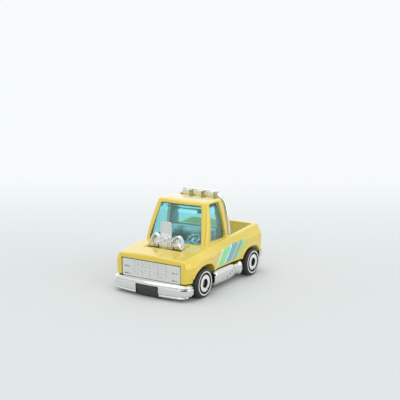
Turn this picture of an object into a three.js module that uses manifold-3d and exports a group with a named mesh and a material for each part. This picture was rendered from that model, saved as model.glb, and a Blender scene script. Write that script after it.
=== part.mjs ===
// A short, wide toy pickup truck: die-cast shell, tinted window insert, plated trim,
// black base, wire axles and four free-rolling wheels.
// Millimetres, +Z up, nose towards -Y, driver's side towards +X, wheels standing on z = 0.

import * as THREE from 'three';
import { mergeVertices } from 'three/addons/utils/BufferGeometryUtils.js';
import Module from 'manifold-3d';

const wasm = await Module();
wasm.setup();

const { lerp, smoothstep } = THREE.MathUtils;

// Clearances
const seatGap = 0.3; // between pieces assembled against each other
const runningGap = 0.15; // round a turning axle, on the radius

// Wheels and axles
const wheelRadius = 5.25;
const wheelWidth = 4.2;
const wheelProud = 0.45; // outer face of a wheel beyond the wings
const axleRadius = 0.6;
const axleHeadRadius = 1.05;
const axleHeadLength = 0.45;
const hubRecess = 1.6; // depth of the hub below the wheel's face
const printStep = 0.25; // height of the raised rings that carry the print
const printOuter = 0.82; // radii on the wheel's face, as shares of its radius
const printInner = 0.71;
const discOuter = 0.586;
const discInner = 0.306;
const faceDraft = 0.015;
const dishOuter = 0.78; // hollow of the wheel's inner side, likewise
const dishInner = 0.34;
const dishDraft = 0.04;
const dishDepth = 1.2;
const treadInnerRound = 0.4;
const treadOuterRound = 0.8;
const wheelSides = 20;

// Length, from the bumper's face to the rear bumper's face
const frontOverhang = 11.15;
const wheelbase = 34.3;
const rearOverhang = 10.05;
const frontBumperReach = 2.55; // ahead of the nose
const rearBumperReach = 2.25; // behind the tail

// Shell
const wall = 1.1; // casting thickness
const noseHalf = 14.5; // half-widths
const fenderHalf = 16.85;
const wingFlare = 0.75; // how far the wings stand out from the doors
const hoodHalf = 13.4;
const cowlHalf = 13.8;
const railHalf = 14.9;
const fenderBlend = 5.0; // length over which a wing swells out of the door
const sillTuck = 0.6; // how far the sill lies inside the widest line
const noseZ = 14.0; // heights of the upper edge
const hoodZ = 15.0;
const cowlZ = 15.6;
const beltZ = 16.5;
const deckZ = 17.5;
const railZ = 18.8;
const noseCreaseZ = 11.6; // heights of the widest line
const tailCreaseZ = 15.6;
const noseBottomZ = 6.3; // lower edge of the nose, doors and tail
const sillZ = 7.9;
const tailBottomZ = 8.4;
const hoodCrown = 0.6;
const bedCrown = 0.1;
const creaseHeight = 0.7; // soft turn from the side into the shoulder
const creaseTurn = 0.3;
const flankHeight = 0.45; // share of the way up to the widest line
const flankFullness = 0.7; // share of the sill's tuck made good there
const crownAtEdge = 0.15; // shares of the crown beside the edge and half-way in
const crownHalfway = 0.75;
const bottomStep = 1.0; // half the length over which the lower edge changes height
const edgeRadius = 1.1;
const endSteps = [0, 0.2, 0.6]; // sections of the rounded ends, as shares of the radius
const stationStep = 2.8; // spacing of the sections that shape the body

// Wheel arches
const frontArchRoom = 1.75; // space ahead of and behind the wheel
const rearArchRoom = 1.3;
const frontArchShift = 1.1; // arch centre behind the axle
const rearArchShift = -0.35;
const archHeadroom = 1.1;
const archSquareness = 2.6;
const lipWidth = 0.9;
const lipHeight = 0.35;
const wellDepth = 4.4; // inner wall of an arch, in from the widest line
const archSegments = 14;

// Cab
const cowlBehindAxle = 6.4; // front axle to the foot of the windscreen
const cabLength = 17.25; // at its foot
const cabHalf = 13.3;
const roofHalf = 11.1;
const windscreenRake = 4.7;
const rearRake = 1.3;
const cabFootZ = 16.4;
const roofEdgeZ = 30.2;
const roofRise = 1.15;
const cabCornerRadius = 1.9;
const leastCornerRadius = 0.4; // inside the cab's walls
const cabCornerSteps = 3;
const bowPlaces = [-0.6, -0.2, 0.2, 0.6]; // points across the bowed windscreen
// Share of the roof's rise, and how far the roof is drawn in there.
const roofDome = [[0, 0], [0.35, 0.1], [0.65, 0.4], [0.85, 1.0], [0.95, 2.4], [1, 4.2]];
const windscreenBow = 0.6;
const cabBarrel = 0.45; // swell of the cab's sides at half height

// Windows
const windscreenFootHalf = 11.4;
const windscreenTopHalf = 8.75;
const windscreenSill = 16.55;
const windscreenTop = 29.85;
const sideSill = 17.3;
const sideTop = 30.4;
const frontPillarFoot = 3.5; // pillar widths seen from the side
const frontPillarTop = 1.35;
const rearPillarFoot = 3.1;
const rearPillarTop = 3.4;
const rearSill = 20.2;
const rearTop = 28.8;
const rearWindowHalf = 8.4;
const rearWindowTopHalf = 7.4;
const windowCorner = 0.8;
const glassThickness = 0.8;
const paneSetBack = 0.4; // panes below the shell's surface
const sidePaneSetBack = 0.95;
const glassBottomZ = 15.4;

// Bed
const bedHalf = 13.3;
const bedFloorZ = 12.5;
const tailgateThickness = 1.7;
const bedCorner = 0.8;
const tailPanelHalf = 10.4;
const tailPanelDepth = 0.3;
const tailPanelMargin = 2.0; // above the tail's lower edge and below the rail
const tailLampHalf = 1.2;
const tailLampGap = 1.4; // from the panel to a lamp
const tailLampProud = 0.35;

// Base and the posts that hold it
const baseBottomZ = 2.2;
const baseThickness = 1.2;
const baseToWheel = 1.5;
const baseCorner = 1.5;
const postRadius = 1.7;
const postNeckRadius = 1.1;
const postHeadRadius = 1.9;
const postHeadHeight = 0.4;
const cradleWidth = 3.4;
const cradleLength = 3.2;
const cradleRoof = 0.9; // material above the axle bore
const frontPostBehindNose = 4.0;
const rearPostAheadOfAxle = 5.9;
const tabTopHalf = 4.5;
const tabBottomHalf = 4.9;
const tabTopZ = 4.4;
const tabBottomZ = 0.2;
const tabLip = 0.8; // upright strip along the tab's upper edge
const tabLean = 1.5; // lower edge behind the upper one
const tabCorner = 0.4;
const tabSetBack = 0.15; // behind the bumper's face

// Plated trim
const grilleHalf = 12.4;
const grilleTopZ = 12.3;
const grilleThickness = 1.6;
const grilleSetBack = 0.25;
const grilleCellDepth = 0.55;
const grilleColumns = 12;
const grilleRows = 4;
const grilleBar = 0.35;
const lampWidth = 4.4;
const lampSlitHeight = 0.45;
const lampSlitLength = 2.7;
const grilleCorner = 0.5;
const bumperInset = 0.45; // bumper ends inside the wings
const bumperBottomZ = 1.1;
const bumperEndRise = 1.6; // lower edge, from the face back to the ends
const bumperWall = 1.9;
const bumperCorner = 4.6;
const cornerFlatness = 0.8; // depth of a bumper's corner against its width
const bumperCornerSteps = 4;
// Share of the bumper's height, and how far its face is drawn in there.
const frontBumperLevels = [
  [0, 0.45], [0.12, 0.2], [0.16, 0.5], [0.22, 0.5], [0.26, 0.05], [0.8, 0], [0.93, 0.25], [1, 0.7],
];
const rearBumperLevels = [[0, 0.9], [0.15, 0.2], [0.35, 0], [0.75, 0], [0.92, 0.25], [1, 0.8]];
const bumperShelf = 1.0; // ledge under the grille
const bumperBow = 0.9;
const rearBumperInset = 0.35;
const rearBumperCorner = 1.0;
const rearBumperWrap = 1.5; // ends reaching forward under the tail
const rearBumperBottomZ = 5.0;
const rearBumperTopZ = 9.2;
const pipeHalfWidth = 2.35;
const pipeHalfHeight = 2.9;
const pipeZ = 4.6;
const pipeFrontGap = 2.4; // behind the front wheel
const pipeRearGap = 0.9; // ahead of the rear wheel
const pipeStepLength = 4.0; // slimmer stretch behind the heat shield
const pipeTipLength = 1.8;
// Distance from each place along the pipe, and share of the full section there.
const pipeFrontEnd = [[0, 0.72], [0.5, 0.94], [1.4, 1]];
const pipeStep = [[-0.6, 1], [0, 0.82]];
const pipeTip = [[-0.4, 0.8], [0, 0.98]];
const pipeRearEnd = [[-0.7, 0.98], [-0.2, 0.86], [0, 0.66]];
const pipeSides = 14;
const pipeSquareness = 2.65;
const shieldHoles = 4; // a slanted row at the shield's rear end
const shieldHolePitch = 1.6;
const shieldHoleRise = 0.75;
const shieldHoleRadius = 0.45;
const shieldHoleDepth = 0.5;
const hoopRadius = 0.75;
const hoopBehindCab = 0.95;
const hoopHalf = 12.2;
const hoopShoulderHalf = 10.7;
const hoopShoulderZ = 29.0;
const hoopTopZ = 32.0;
const lampPitch = 5.4;
const lampHalf = 1.35;
const lampHeight = 1.4;
const lampReach = 1.0; // lamps ahead of their bar
const lampBarHalf = 7.7;
const lampBarHeight = 1.9;
const lampBarDepth = 1.2;
const lampBarSink = 0.5; // lower edge below the middle of the hoop's top
const lampBarBack = 0.4; // rear face behind the middle of the hoop
const lampCorner = 0.5;
const hoopFootFlange = 0.2;
const hoopFootHeight = 0.7;
const hoopBend = 2.6; // from the shoulder in to the straight top

// Engine
const hoodRecessHalf = 7.9;
const hoodRecessAhead = 1.6; // front edge ahead of the front axle
const hoodRecessLength = 6.4;
const hoodRecessDepth = 0.35;
const hoodHoleHalf = 7.6;
const hoodHoleAhead = 0.1; // front edge ahead of the front axle
const hoodHoleLength = 3.3;
const blockHalf = 4.4;
const blockTopZ = 16.2;
const bankHalf = 6.7;
const bankSetBack = 0.9; // behind the belt's face
const bankDepth = 3.4;
const bankDrop = 0.4;
const bankRise = 1.3;
const blowerHalf = 2.3;
const blowerFootHalf = 2.9;
const blowerFootZ = 12.2;
const blowerTopZ = 19.9;
const blowerCorner = 0.9;
const beltReach = 0.4; // ahead of the blower
const beltHalf = 1.2;
const beltTopMargin = 0.6;
const scoopHalf = 2.45;
const scoopTopZ = 24.9;
const scoopLength = 1.7;
const scoopBehindAxle = 1.15;
const scoopRim = 0.45;
const scoopCorner = 1.35;
const scoopMouthDepth = 0.35;
const headerCount = 2;
const headerRadius = 0.38;
const headerFootZ = 16.8;
const headerPullZ = 21.4; // height that draws the bend up

// Interior
const seatTopZ = 20.0;
const backrestHalf = 9.0;
const backrestFoot = 2.6;
const backrestTop = 1.2;
const backrestLean = 0.4;
const tubSetBack = 0.4; // clear of the raked rear window
const seatCorner = 0.5;
const benchHalf = 10.2;
const benchTopZ = 12.8;
const benchDepth = 6.0;
const footHalf = 5.2;
const floorZ = 7.6;
const floorThickness = 1.0;
const dashTopZ = 15.0;
const dashDepth = 2.7;
const dashFootDepth = 1.5;
const columnRadius = 0.5;
const columnReach = 1.4;
const columnRise = 2.2;
const steeringRadius = 2.2;
const steeringX = 5.2;
const steeringLean = 0.95; // radians, back from upright
const rimRadius = 0.34;
const spokeRadius = 0.26;

// Places worked out from the sizes above
const frontFaceY = -(frontOverhang + wheelbase + rearOverhang) / 2;
const rearFaceY = -frontFaceY;
const frontAxleY = frontFaceY + frontOverhang;
const rearAxleY = frontAxleY + wheelbase;
const axleZ = wheelRadius;
const noseY = frontFaceY + frontBumperReach;
const tailY = rearFaceY - rearBumperReach;
const cowlY = frontAxleY + cowlBehindAxle;
const cabRearY = cowlY + cabLength;
const roofFrontY = cowlY + windscreenRake;
const roofRearY = cabRearY - rearRake;
const baseTopZ = baseBottomZ + baseThickness;
const bumperTopZ = noseBottomZ - seatGap;
const bumperBackY = frontAxleY - wheelRadius - 2 * seatGap;
const hoodRecessY = frontAxleY - hoodRecessAhead;
const hoodHoleY = frontAxleY - hoodHoleAhead;
const frontPostY = noseY + frontPostBehindNose;
const rearPostY = rearAxleY - rearPostAheadOfAxle;
const doorHalf = fenderHalf - wingFlare;
const wheelFaceX = fenderHalf + wheelProud;
const wheelInnerX = wheelFaceX - wheelWidth;
const baseHalf = wheelInnerX - baseToWheel;
const bumperHalf = fenderHalf - bumperInset;
const rearBumperHalf = fenderHalf - rearBumperInset;
const seatedGlass = wall + seatGap + glassThickness + seatGap; // shell's outside to the cabin
const farBeyond = 60; // reach of a cut that passes right through
const belowGround = -1;

// Solids

function solid(geometry) {
  const bare = new THREE.BufferGeometry();
  bare.setAttribute('position', geometry.getAttribute('position'));
  bare.setIndex(geometry.getIndex());
  const welded = mergeVertices(bare, 1e-4);
  const corners = welded.getIndex().array;
  const triVerts = [];
  for (let i = 0; i < corners.length; i += 3) {
    const [a, b, c] = corners.slice(i, i + 3);
    if (a !== b && b !== c && c !== a) triVerts.push(a, b, c);
  }
  const vertProperties = Float32Array.from(welded.getAttribute('position').array);
  const mesh = new wasm.Mesh({ numProp: 3, vertProperties, triVerts: Uint32Array.from(triVerts) });
  return new wasm.Manifold(mesh);
}

function joined(first, ...others) {
  return others.reduce((sum, next) => sum.add(next), first);
}

function less(first, ...others) {
  return others.reduce((rest, next) => rest.subtract(next), first);
}

function piece(name, body, material) {
  const mesh = body.getMesh();
  const geometry = new THREE.BufferGeometry();
  geometry.setAttribute('position', new THREE.BufferAttribute(mesh.vertProperties, 3));
  geometry.setIndex(new THREE.BufferAttribute(mesh.triVerts, 1));
  geometry.computeVertexNormals();
  const node = new THREE.Mesh(geometry, material);
  node.name = name;
  return node;
}

function box([x0, x1], [y0, y1], [z0, z1]) {
  const geometry = new THREE.BoxGeometry(x1 - x0, y1 - y0, z1 - z0);
  return solid(geometry.translate((x0 + x1) / 2, (y0 + y1) / 2, (z0 + z1) / 2));
}

function rodX(radius, [x0, x1], y, z, sides = 16) {
  const geometry = new THREE.CylinderGeometry(radius, radius, x1 - x0, sides);
  return solid(geometry.rotateZ(Math.PI / 2).translate((x0 + x1) / 2, y, z));
}

function rodZ(radius, x, y, [z0, z1], sides = 16) {
  const geometry = new THREE.CylinderGeometry(radius, radius, z1 - z0, sides);
  return solid(geometry.rotateX(Math.PI / 2).translate(x, y, (z0 + z1) / 2));
}

function rodBetween(radius, from, to, sides = 10) {
  const way = new THREE.Vector3().subVectors(to, from);
  const geometry = new THREE.CylinderGeometry(radius, radius, way.length(), sides);
  const turn = new THREE.Quaternion().setFromUnitVectors(new THREE.Vector3(0, 1, 0), way.clone().normalize());
  const middle = new THREE.Vector3().lerpVectors(from, to, 0.5);
  return solid(geometry.applyQuaternion(turn).translate(middle.x, middle.y, middle.z));
}

function prism(shape, depth) {
  return new THREE.ExtrudeGeometry(shape, { depth, bevelEnabled: false, curveSegments: 4 });
}

// Shape drawn in (y, z), carried along X.
function acrossX(shape, [x0, x1]) {
  const axes = new THREE.Matrix4().makeBasis(
    new THREE.Vector3(0, 1, 0),
    new THREE.Vector3(0, 0, 1),
    new THREE.Vector3(1, 0, 0),
  );
  return solid(prism(shape, x1 - x0).applyMatrix4(axes).translate(x0, 0, 0));
}

// Shape drawn in (x, z), carried along Y.
function alongY(shape, [y0, y1]) {
  return solid(prism(shape, y1 - y0).rotateX(Math.PI / 2).translate(0, y1, 0));
}

// Shape drawn in (x, y), carried up Z.
function upZ(shape, [z0, z1]) {
  return solid(prism(shape, z1 - z0).translate(0, 0, z0));
}

// Polygon with every corner rounded by the same radius.
function roundedPolygon(points, radius) {
  const shape = new THREE.Shape();
  points.forEach(([x, y], i) => {
    const corner = new THREE.Vector2(x, y);
    const before = new THREE.Vector2(...points.at(i - 1)).sub(corner);
    const after = new THREE.Vector2(...points[(i + 1) % points.length]).sub(corner);
    const start = corner.clone().add(before.setLength(Math.min(radius, before.length() / 2)));
    const end = corner.clone().add(after.setLength(Math.min(radius, after.length() / 2)));
    if (i === 0) shape.moveTo(start.x, start.y);
    else shape.lineTo(start.x, start.y);
    shape.quadraticCurveTo(corner.x, corner.y, end.x, end.y);
  });
  shape.closePath();
  return shape;
}

function roundedRect([x0, x1], [y0, y1], radius) {
  return roundedPolygon([[x0, y0], [x1, y0], [x1, y1], [x0, y1]], radius);
}

// Skin through rings of points, with a fan over the first and the last ring.
function loft(rings) {
  const count = rings[0].length;
  const middle = (ring) => ring.reduce((sum, p) => sum.add(p), new THREE.Vector3()).divideScalar(count);
  const points = [...rings.flat(), middle(rings[0]), middle(rings.at(-1))];
  const lastRing = (rings.length - 1) * count;
  const firstHub = rings.length * count;
  const index = [];
  for (let i = 0; i < count; i += 1) {
    const next = (i + 1) % count;
    index.push(next, i, firstHub, lastRing + i, lastRing + next, firstHub + 1);
    for (let ring = 0; ring < lastRing; ring += count) {
      const [a, b, c, d] = [ring + i, ring + next, ring + count + next, ring + count + i];
      index.push(a, b, c, a, c, d);
    }
  }
  const geometry = new THREE.BufferGeometry().setFromPoints(points);
  geometry.setIndex(index);
  return solid(geometry);
}

function stations(from, to, step) {
  const count = Math.ceil((to - from) / step);
  return Array.from({ length: count + 1 }, (_, i) => lerp(from, to, i / count));
}

// Value along the length, between places where it is known.
function along(y, knots, eased = false) {
  const end = knots.findIndex(([place]) => y <= place);
  if (end === 0) return knots[0][1];
  if (end < 0) return knots.at(-1)[1];
  const [y0, v0] = knots[end - 1];
  const [y1, v1] = knots[end];
  return lerp(v0, v1, eased ? smoothstep(y, y0, y1) : (y - y0) / (y1 - y0));
}

// Lower body

const frontArchY = frontAxleY + frontArchShift;
const rearArchY = rearAxleY + rearArchShift;
const widestLine = [
  [noseY, noseHalf],
  [frontAxleY - wheelRadius, lerp(noseHalf, fenderHalf, 0.8)],
  [frontAxleY - fenderBlend, fenderHalf],
  [frontArchY + wheelRadius, fenderHalf],
  [frontArchY + wheelRadius + fenderBlend, doorHalf],
  [rearArchY - wheelRadius - fenderBlend, doorHalf],
  [rearArchY - wheelRadius, fenderHalf],
  [tailY, fenderHalf],
];
const creaseLine = [
  [noseY, noseCreaseZ],
  [frontAxleY, (noseCreaseZ + tailCreaseZ) / 2],
  [tailY, tailCreaseZ],
];
const topLine = [
  [noseY, noseZ],
  [hoodRecessY, hoodZ],
  [cowlY - fenderBlend / 2, cowlZ],
  [cowlY + fenderBlend, beltZ],
  [cabRearY, deckZ],
  [tailY, railZ],
];
const topHalfLine = [[noseY, hoodHalf], [cowlY, cowlHalf], [cabRearY, railHalf], [tailY, railHalf]];
const crownLine = [[noseY, hoodCrown], [cowlY, hoodCrown], [cabRearY, bedCrown], [tailY, bedCrown]];
const bottomLine = [
  [frontAxleY - bottomStep, noseBottomZ],
  [frontAxleY + bottomStep, sillZ],
  [rearAxleY - bottomStep, sillZ],
  [rearAxleY + bottomStep, tailBottomZ],
];

// How far a quarter-round end draws the section in, near the nose and the tail.
function endTuck(y, radius) {
  const depth = Math.max(0, radius - Math.min(y - noseY, tailY - y));
  return radius - Math.sqrt(radius * radius - depth * depth);
}

// Section of the lower body at y, drawn in by inset, standing on bottomZ.
function bodyRing(y, inset, bottomZ) {
  const widest = along(y, widestLine, true) - inset;
  const top = along(y, topHalfLine) - inset;
  const creaseZ = along(y, creaseLine) - inset / 2;
  const topZ = along(y, topLine) - inset;
  const crown = along(y, crownLine);
  const sill = widest - sillTuck;
  const shoulder = new THREE.Vector2(widest - creaseTurn, creaseZ);
  const edge = new THREE.Vector2(top, topZ);
  const upper = new THREE.Vector2().subVectors(shoulder, edge).setLength(edgeRadius).add(edge);
  const inner = new THREE.Vector2(top - edgeRadius, topZ + crown * crownAtEdge);
  const rounded = new THREE.QuadraticBezierCurve(upper, edge, inner).getPoints(3);
  const side = [
    [sill, bottomZ],
    [lerp(sill, widest, flankFullness), lerp(bottomZ, creaseZ, flankHeight)],
    [widest, creaseZ - creaseHeight],
    [shoulder.x, shoulder.y],
    ...rounded.map((p) => [p.x, p.y]),
    [top / 2, topZ + crown * crownHalfway],
  ];
  const right = side.map(([x, z]) => new THREE.Vector3(x, y, z));
  const left = side.toReversed().map(([x, z]) => new THREE.Vector3(-x, y, z));
  const keel = new THREE.Vector3(0, y, bottomZ);
  const ridge = new THREE.Vector3(0, y, topZ + crown);
  return [keel, ...right, ridge, ...left].toReversed();
}

function lowerBody(swell) {
  const ends = endSteps.map((share) => share * edgeRadius);
  const places = [
    ...ends.map((d) => noseY + d),
    ...stations(noseY + edgeRadius, tailY - edgeRadius, stationStep),
    ...ends.toReversed().map((d) => tailY - d),
  ];
  return loft(places.map((y) => bodyRing(y, endTuck(y, edgeRadius) - swell, along(y, bottomLine))));
}

function lowerCavity() {
  const places = stations(noseY + wall, tailY - tailgateThickness, stationStep);
  return loft(places.map((y) => bodyRing(y, wall, belowGround)));
}

// Wheel arch outline in (y, z): a squarish half oval, open downwards.
function archShape(centreY, room, grow) {
  const half = wheelRadius + room + grow;
  const height = wheelRadius + archHeadroom + grow;
  const squared = (v) => Math.sign(v) * Math.abs(v) ** (2 / archSquareness);
  const shape = new THREE.Shape();
  shape.moveTo(centreY + half, belowGround);
  for (let i = 0; i <= archSegments; i += 1) {
    const angle = (i * Math.PI) / archSegments;
    shape.lineTo(centreY + half * squared(Math.cos(angle)), axleZ + height * squared(Math.sin(angle)));
  }
  shape.lineTo(centreY - half, belowGround);
  return shape;
}

const arches = [[frontArchY, frontArchRoom], [rearArchY, rearArchRoom]];

function archCuts() {
  return arches.map(([y, room]) => acrossX(archShape(y, room, 0), [-farBeyond, farBeyond]));
}

// Inner walls of the wheel arches, whose outer edges stand out as lips.
function archWalls() {
  const rings = arches.map(([y, room]) => acrossX(archShape(y, room, lipWidth), [-farBeyond, farBeyond]));
  const innerHalf = fenderHalf - wellDepth;
  const below = box([-farBeyond, farBeyond], [-farBeyond, farBeyond], [-farBeyond, sillZ]);
  const between = box([-innerHalf, innerHalf], [-farBeyond, farBeyond], [-farBeyond, farBeyond]);
  return less(joined(...rings).intersect(lowerBody(lipHeight)), below, between);
}

// Cab

function cabRing(z, inset, tuck) {
  const rise = Math.max(0, (z - cabFootZ) / (roofEdgeZ - cabFootZ));
  const drawn = inset + tuck;
  const half = lerp(cabHalf, roofHalf, rise) + cabBarrel * 4 * rise * (1 - rise) - drawn;
  const front = lerp(cowlY, roofFrontY, rise) + drawn;
  const rear = lerp(cabRearY, roofRearY, rise) - drawn;
  const radius = Math.max(cabCornerRadius - inset, leastCornerRadius);
  const corners = [[1, 1, rear], [-1, 1, rear], [-1, -1, front], [1, -1, front]];
  const ring = [];
  corners.forEach(([sx, sy, y], quarter) => {
    for (let i = 0; i <= cabCornerSteps; i += 1) {
      const angle = (quarter + i / cabCornerSteps) * (Math.PI / 2);
      ring.push(new THREE.Vector3(sx * (half - radius), y - sy * radius, z).add(
        new THREE.Vector3(Math.cos(angle), Math.sin(angle), 0).multiplyScalar(radius),
      ));
    }
  });
  const bowed = bowPlaces.map((share) => {
    const bow = windscreenBow * (1 - share * share);
    return new THREE.Vector3(share * (half - radius), front - bow, z);
  });
  const pointsBeforeFront = 3 * (cabCornerSteps + 1);
  ring.splice(pointsBeforeFront, 0, ...bowed);
  return ring;
}

// The cab's outside drawn in by inset, from bottomZ up to its crowned roof.
function cabSolid(inset, bottomZ) {
  const heights = [bottomZ, cabFootZ, (cabFootZ + roofEdgeZ) / 2];
  const rings = heights.map((z) => cabRing(z, inset, 0));
  roofDome.forEach(([share, tuck]) => {
    const ring = cabRing(roofEdgeZ, inset, tuck);
    ring.forEach((p) => p.setZ(roofEdgeZ + share * roofRise - inset));
    rings.push(ring);
  });
  return loft(rings);
}

// Window openings, drawn in by inset on every edge.
function windowPrisms(inset) {
  const windscreen = roundedPolygon([
    [-windscreenFootHalf + inset, windscreenSill + inset],
    [windscreenFootHalf - inset, windscreenSill + inset],
    [windscreenTopHalf - inset, windscreenTop - inset],
    [-windscreenTopHalf + inset, windscreenTop - inset],
  ], windowCorner);
  const side = roundedPolygon([
    [cowlY + frontPillarFoot + inset, sideSill + inset],
    [cabRearY - rearPillarFoot - inset, sideSill + inset],
    [roofRearY - rearPillarTop - inset, sideTop - inset],
    [roofFrontY + frontPillarTop + inset, sideTop - inset],
  ], windowCorner);
  const rear = roundedPolygon([
    [-rearWindowHalf + inset, rearSill + inset],
    [rearWindowHalf - inset, rearSill + inset],
    [rearWindowTopHalf - inset, rearTop - inset],
    [-rearWindowTopHalf + inset, rearTop - inset],
  ], windowCorner);
  const middleY = (roofFrontY + roofRearY) / 2;
  const reach = [roofHalf - 2 * wall + inset, cabHalf + wall];
  return {
    windscreen: alongY(windscreen, [noseY, middleY - frontPillarTop]),
    rear: alongY(rear, [middleY + frontPillarTop, tailY]),
    left: acrossX(side, reach),
    right: acrossX(side, [-reach[1], -reach[0]]),
  };
}

// Shell

function bedSpace() {
  const plan = roundedRect([-bedHalf, bedHalf], [cabRearY, tailY - tailgateThickness], bedCorner);
  return upZ(plan, [bedFloorZ, farBeyond]);
}

function tailgatePanel() {
  const outline = roundedRect(
    [-tailPanelHalf, tailPanelHalf],
    [tailBottomZ + tailPanelMargin, railZ - tailPanelMargin],
    windowCorner,
  );
  return alongY(outline, [tailY - tailPanelDepth, farBeyond]);
}

function tailLamps() {
  const lampX = tailPanelHalf + tailLampGap + tailLampHalf;
  return [-1, 1].map((side) => {
    const outline = roundedRect(
      [side * lampX - tailLampHalf, side * lampX + tailLampHalf],
      [tailBottomZ + tailPanelMargin, tailCreaseZ - windowCorner],
      windowCorner / 2,
    );
    return alongY(outline, [tailY - wall, tailY + tailLampProud]);
  });
}

// Shallow sunk panel in the hood, around the engine.
function hoodRecess() {
  const outline = roundedRect(
    [-hoodRecessHalf, hoodRecessHalf],
    [hoodRecessY, hoodRecessY + hoodRecessLength],
    seatCorner,
  );
  return upZ(outline, [noseCreaseZ, farBeyond]).subtract(lowerBody(-hoodRecessDepth));
}

function hoodHole() {
  const plan = roundedRect(
    [-hoodHoleHalf, hoodHoleHalf],
    [hoodHoleY, hoodHoleY + hoodHoleLength],
    windowCorner,
  );
  return upZ(plan, [sillZ, blowerTopZ]);
}

function noseOpening() {
  const half = grilleHalf + seatGap;
  const backY = noseY + grilleThickness + wall;
  return box([-half, half], [-farBeyond, backY], [belowGround, grilleTopZ + seatGap]);
}

// Cast post: a shouldered boss whose end is peened over, flush in a recess of the base.
function post(y, topZ) {
  return joined(
    rodZ(postRadius, 0, y, [baseTopZ + seatGap, topZ]),
    rodZ(postNeckRadius, 0, y, [baseBottomZ + postHeadHeight / 2, topZ]),
    rodZ(postHeadRadius, 0, y, [baseBottomZ, baseBottomZ + postHeadHeight]),
  );
}

function bodyShell() {
  const underBed = box([-farBeyond, farBeyond], [cabRearY - wall, farBeyond], [bedFloorZ - wall, farBeyond]);
  const hollow = joined(lowerCavity().subtract(underBed), cabSolid(wall, bedFloorZ - wall));
  const outside = lowerBody(0).add(cabSolid(0, sillZ));
  const walled = outside.subtract(hollow).add(archWalls());
  const shell = less(walled, bedSpace(), ...Object.values(windowPrisms(0)), ...archCuts());
  const opened = less(shell, hoodRecess(), hoodHole(), noseOpening(), tailgatePanel());
  const posts = [post(frontPostY, along(frontPostY, topLine)), post(rearPostY, bedFloorZ - wall / 2)];
  return joined(opened, ...tailLamps(), ...posts);
}

// One moulding: a hood inside the cab, whose panes stand out into the openings.
function windowInsert() {
  const { windscreen, rear, left, right } = windowPrisms(seatGap);
  const panes = windscreen.add(rear).intersect(cabSolid(paneSetBack, glassBottomZ));
  const sidePanes = left.add(right).intersect(cabSolid(sidePaneSetBack, glassBottomZ));
  const outside = joined(cabSolid(wall + seatGap, glassBottomZ), panes, sidePanes);
  return outside.subtract(cabSolid(wall + seatGap + glassThickness, glassBottomZ - wall));
}

// Interior

function interiorTub() {
  const half = cabHalf - seatedGlass;
  const frontY = cowlY + wall + seatGap;
  const backY = cabRearY - tubSetBack - seatedGlass;
  const floor = box([-half, half], [frontY, backY], [floorZ, floorZ + floorThickness]);
  const bench = box([-benchHalf, benchHalf], [backY - benchDepth, backY], [floorZ, benchTopZ]);
  const back = acrossX(roundedPolygon([
    [backY - backrestFoot, floorZ],
    [backY, floorZ],
    [backY - backrestLean, seatTopZ],
    [backY - backrestLean - backrestTop, seatTopZ],
  ], seatCorner), [-backrestHalf, backrestHalf]);
  const dash = acrossX(roundedPolygon([
    [frontY, floorZ],
    [frontY, dashTopZ],
    [frontY + dashDepth, dashTopZ],
    [frontY + dashFootDepth, floorZ],
  ], seatCorner), [-half, half]);
  const foot = box(
    [-footHalf, footHalf],
    [backY - benchDepth, backY - backrestFoot],
    [baseTopZ + seatGap, floorZ + floorThickness / 2],
  );
  return joined(floor, bench, back, dash, foot, steering());
}

// Steering wheel on its column, leaning towards the seat.
function steering() {
  const dashY = cowlY + wall + seatGap + dashDepth;
  const hub = new THREE.Vector3(steeringX, dashY + columnReach, dashTopZ + columnRise);
  const foot = new THREE.Vector3(steeringX, dashY - columnRadius, dashTopZ - columnRadius);
  const tilt = Math.PI / 2 - steeringLean;
  const rim = new THREE.TorusGeometry(steeringRadius, rimRadius, 6, 18).rotateX(tilt);
  const spokes = [0, 1, 2].map((spoke) => {
    const angle = (spoke * 2 * Math.PI) / 3;
    const end = new THREE.Vector3(Math.cos(angle), Math.sin(angle), 0).multiplyScalar(steeringRadius);
    end.applyAxisAngle(new THREE.Vector3(1, 0, 0), tilt).add(hub);
    return rodBetween(spokeRadius, hub, end, 6);
  });
  return joined(rodBetween(columnRadius, foot, hub, 8), solid(rim.translate(hub.x, hub.y, hub.z)), ...spokes);
}

// Engine

function engine() {
  const frontY = hoodHoleY + seatGap;
  const rearY = hoodHoleY + hoodHoleLength - seatGap;
  const blockBottomZ = axleZ + axleRadius + 2 * seatGap + cradleRoof;
  const legSpan = [frontAxleY + axleRadius + 2 * seatGap, rearY];
  const legs = box([-blockHalf, blockHalf], legSpan, [baseTopZ + seatGap, blockTopZ]);
  const bankY = frontY + bankSetBack;
  const block = box([-blockHalf, blockHalf], [bankY, rearY], [blockBottomZ, blockTopZ]);
  const sides = [...banks(bankY, rearY), ...headers(bankY, rearY)];
  return joined(block, legs, ...sides, blower(frontY, rearY), scoop());
}

// The two banks of cylinders, falling outwards.
function banks(frontY, rearY) {
  return [-1, 1].map((side) => {
    const cover = roundedPolygon([
      [0, blockTopZ - bankDepth],
      [side * bankHalf, blockTopZ - bankDepth],
      [side * bankHalf, blockTopZ - bankDrop],
      [side * blockHalf, blockTopZ + bankRise],
    ], seatCorner);
    return alongY(cover, [frontY, rearY]);
  });
}

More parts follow.
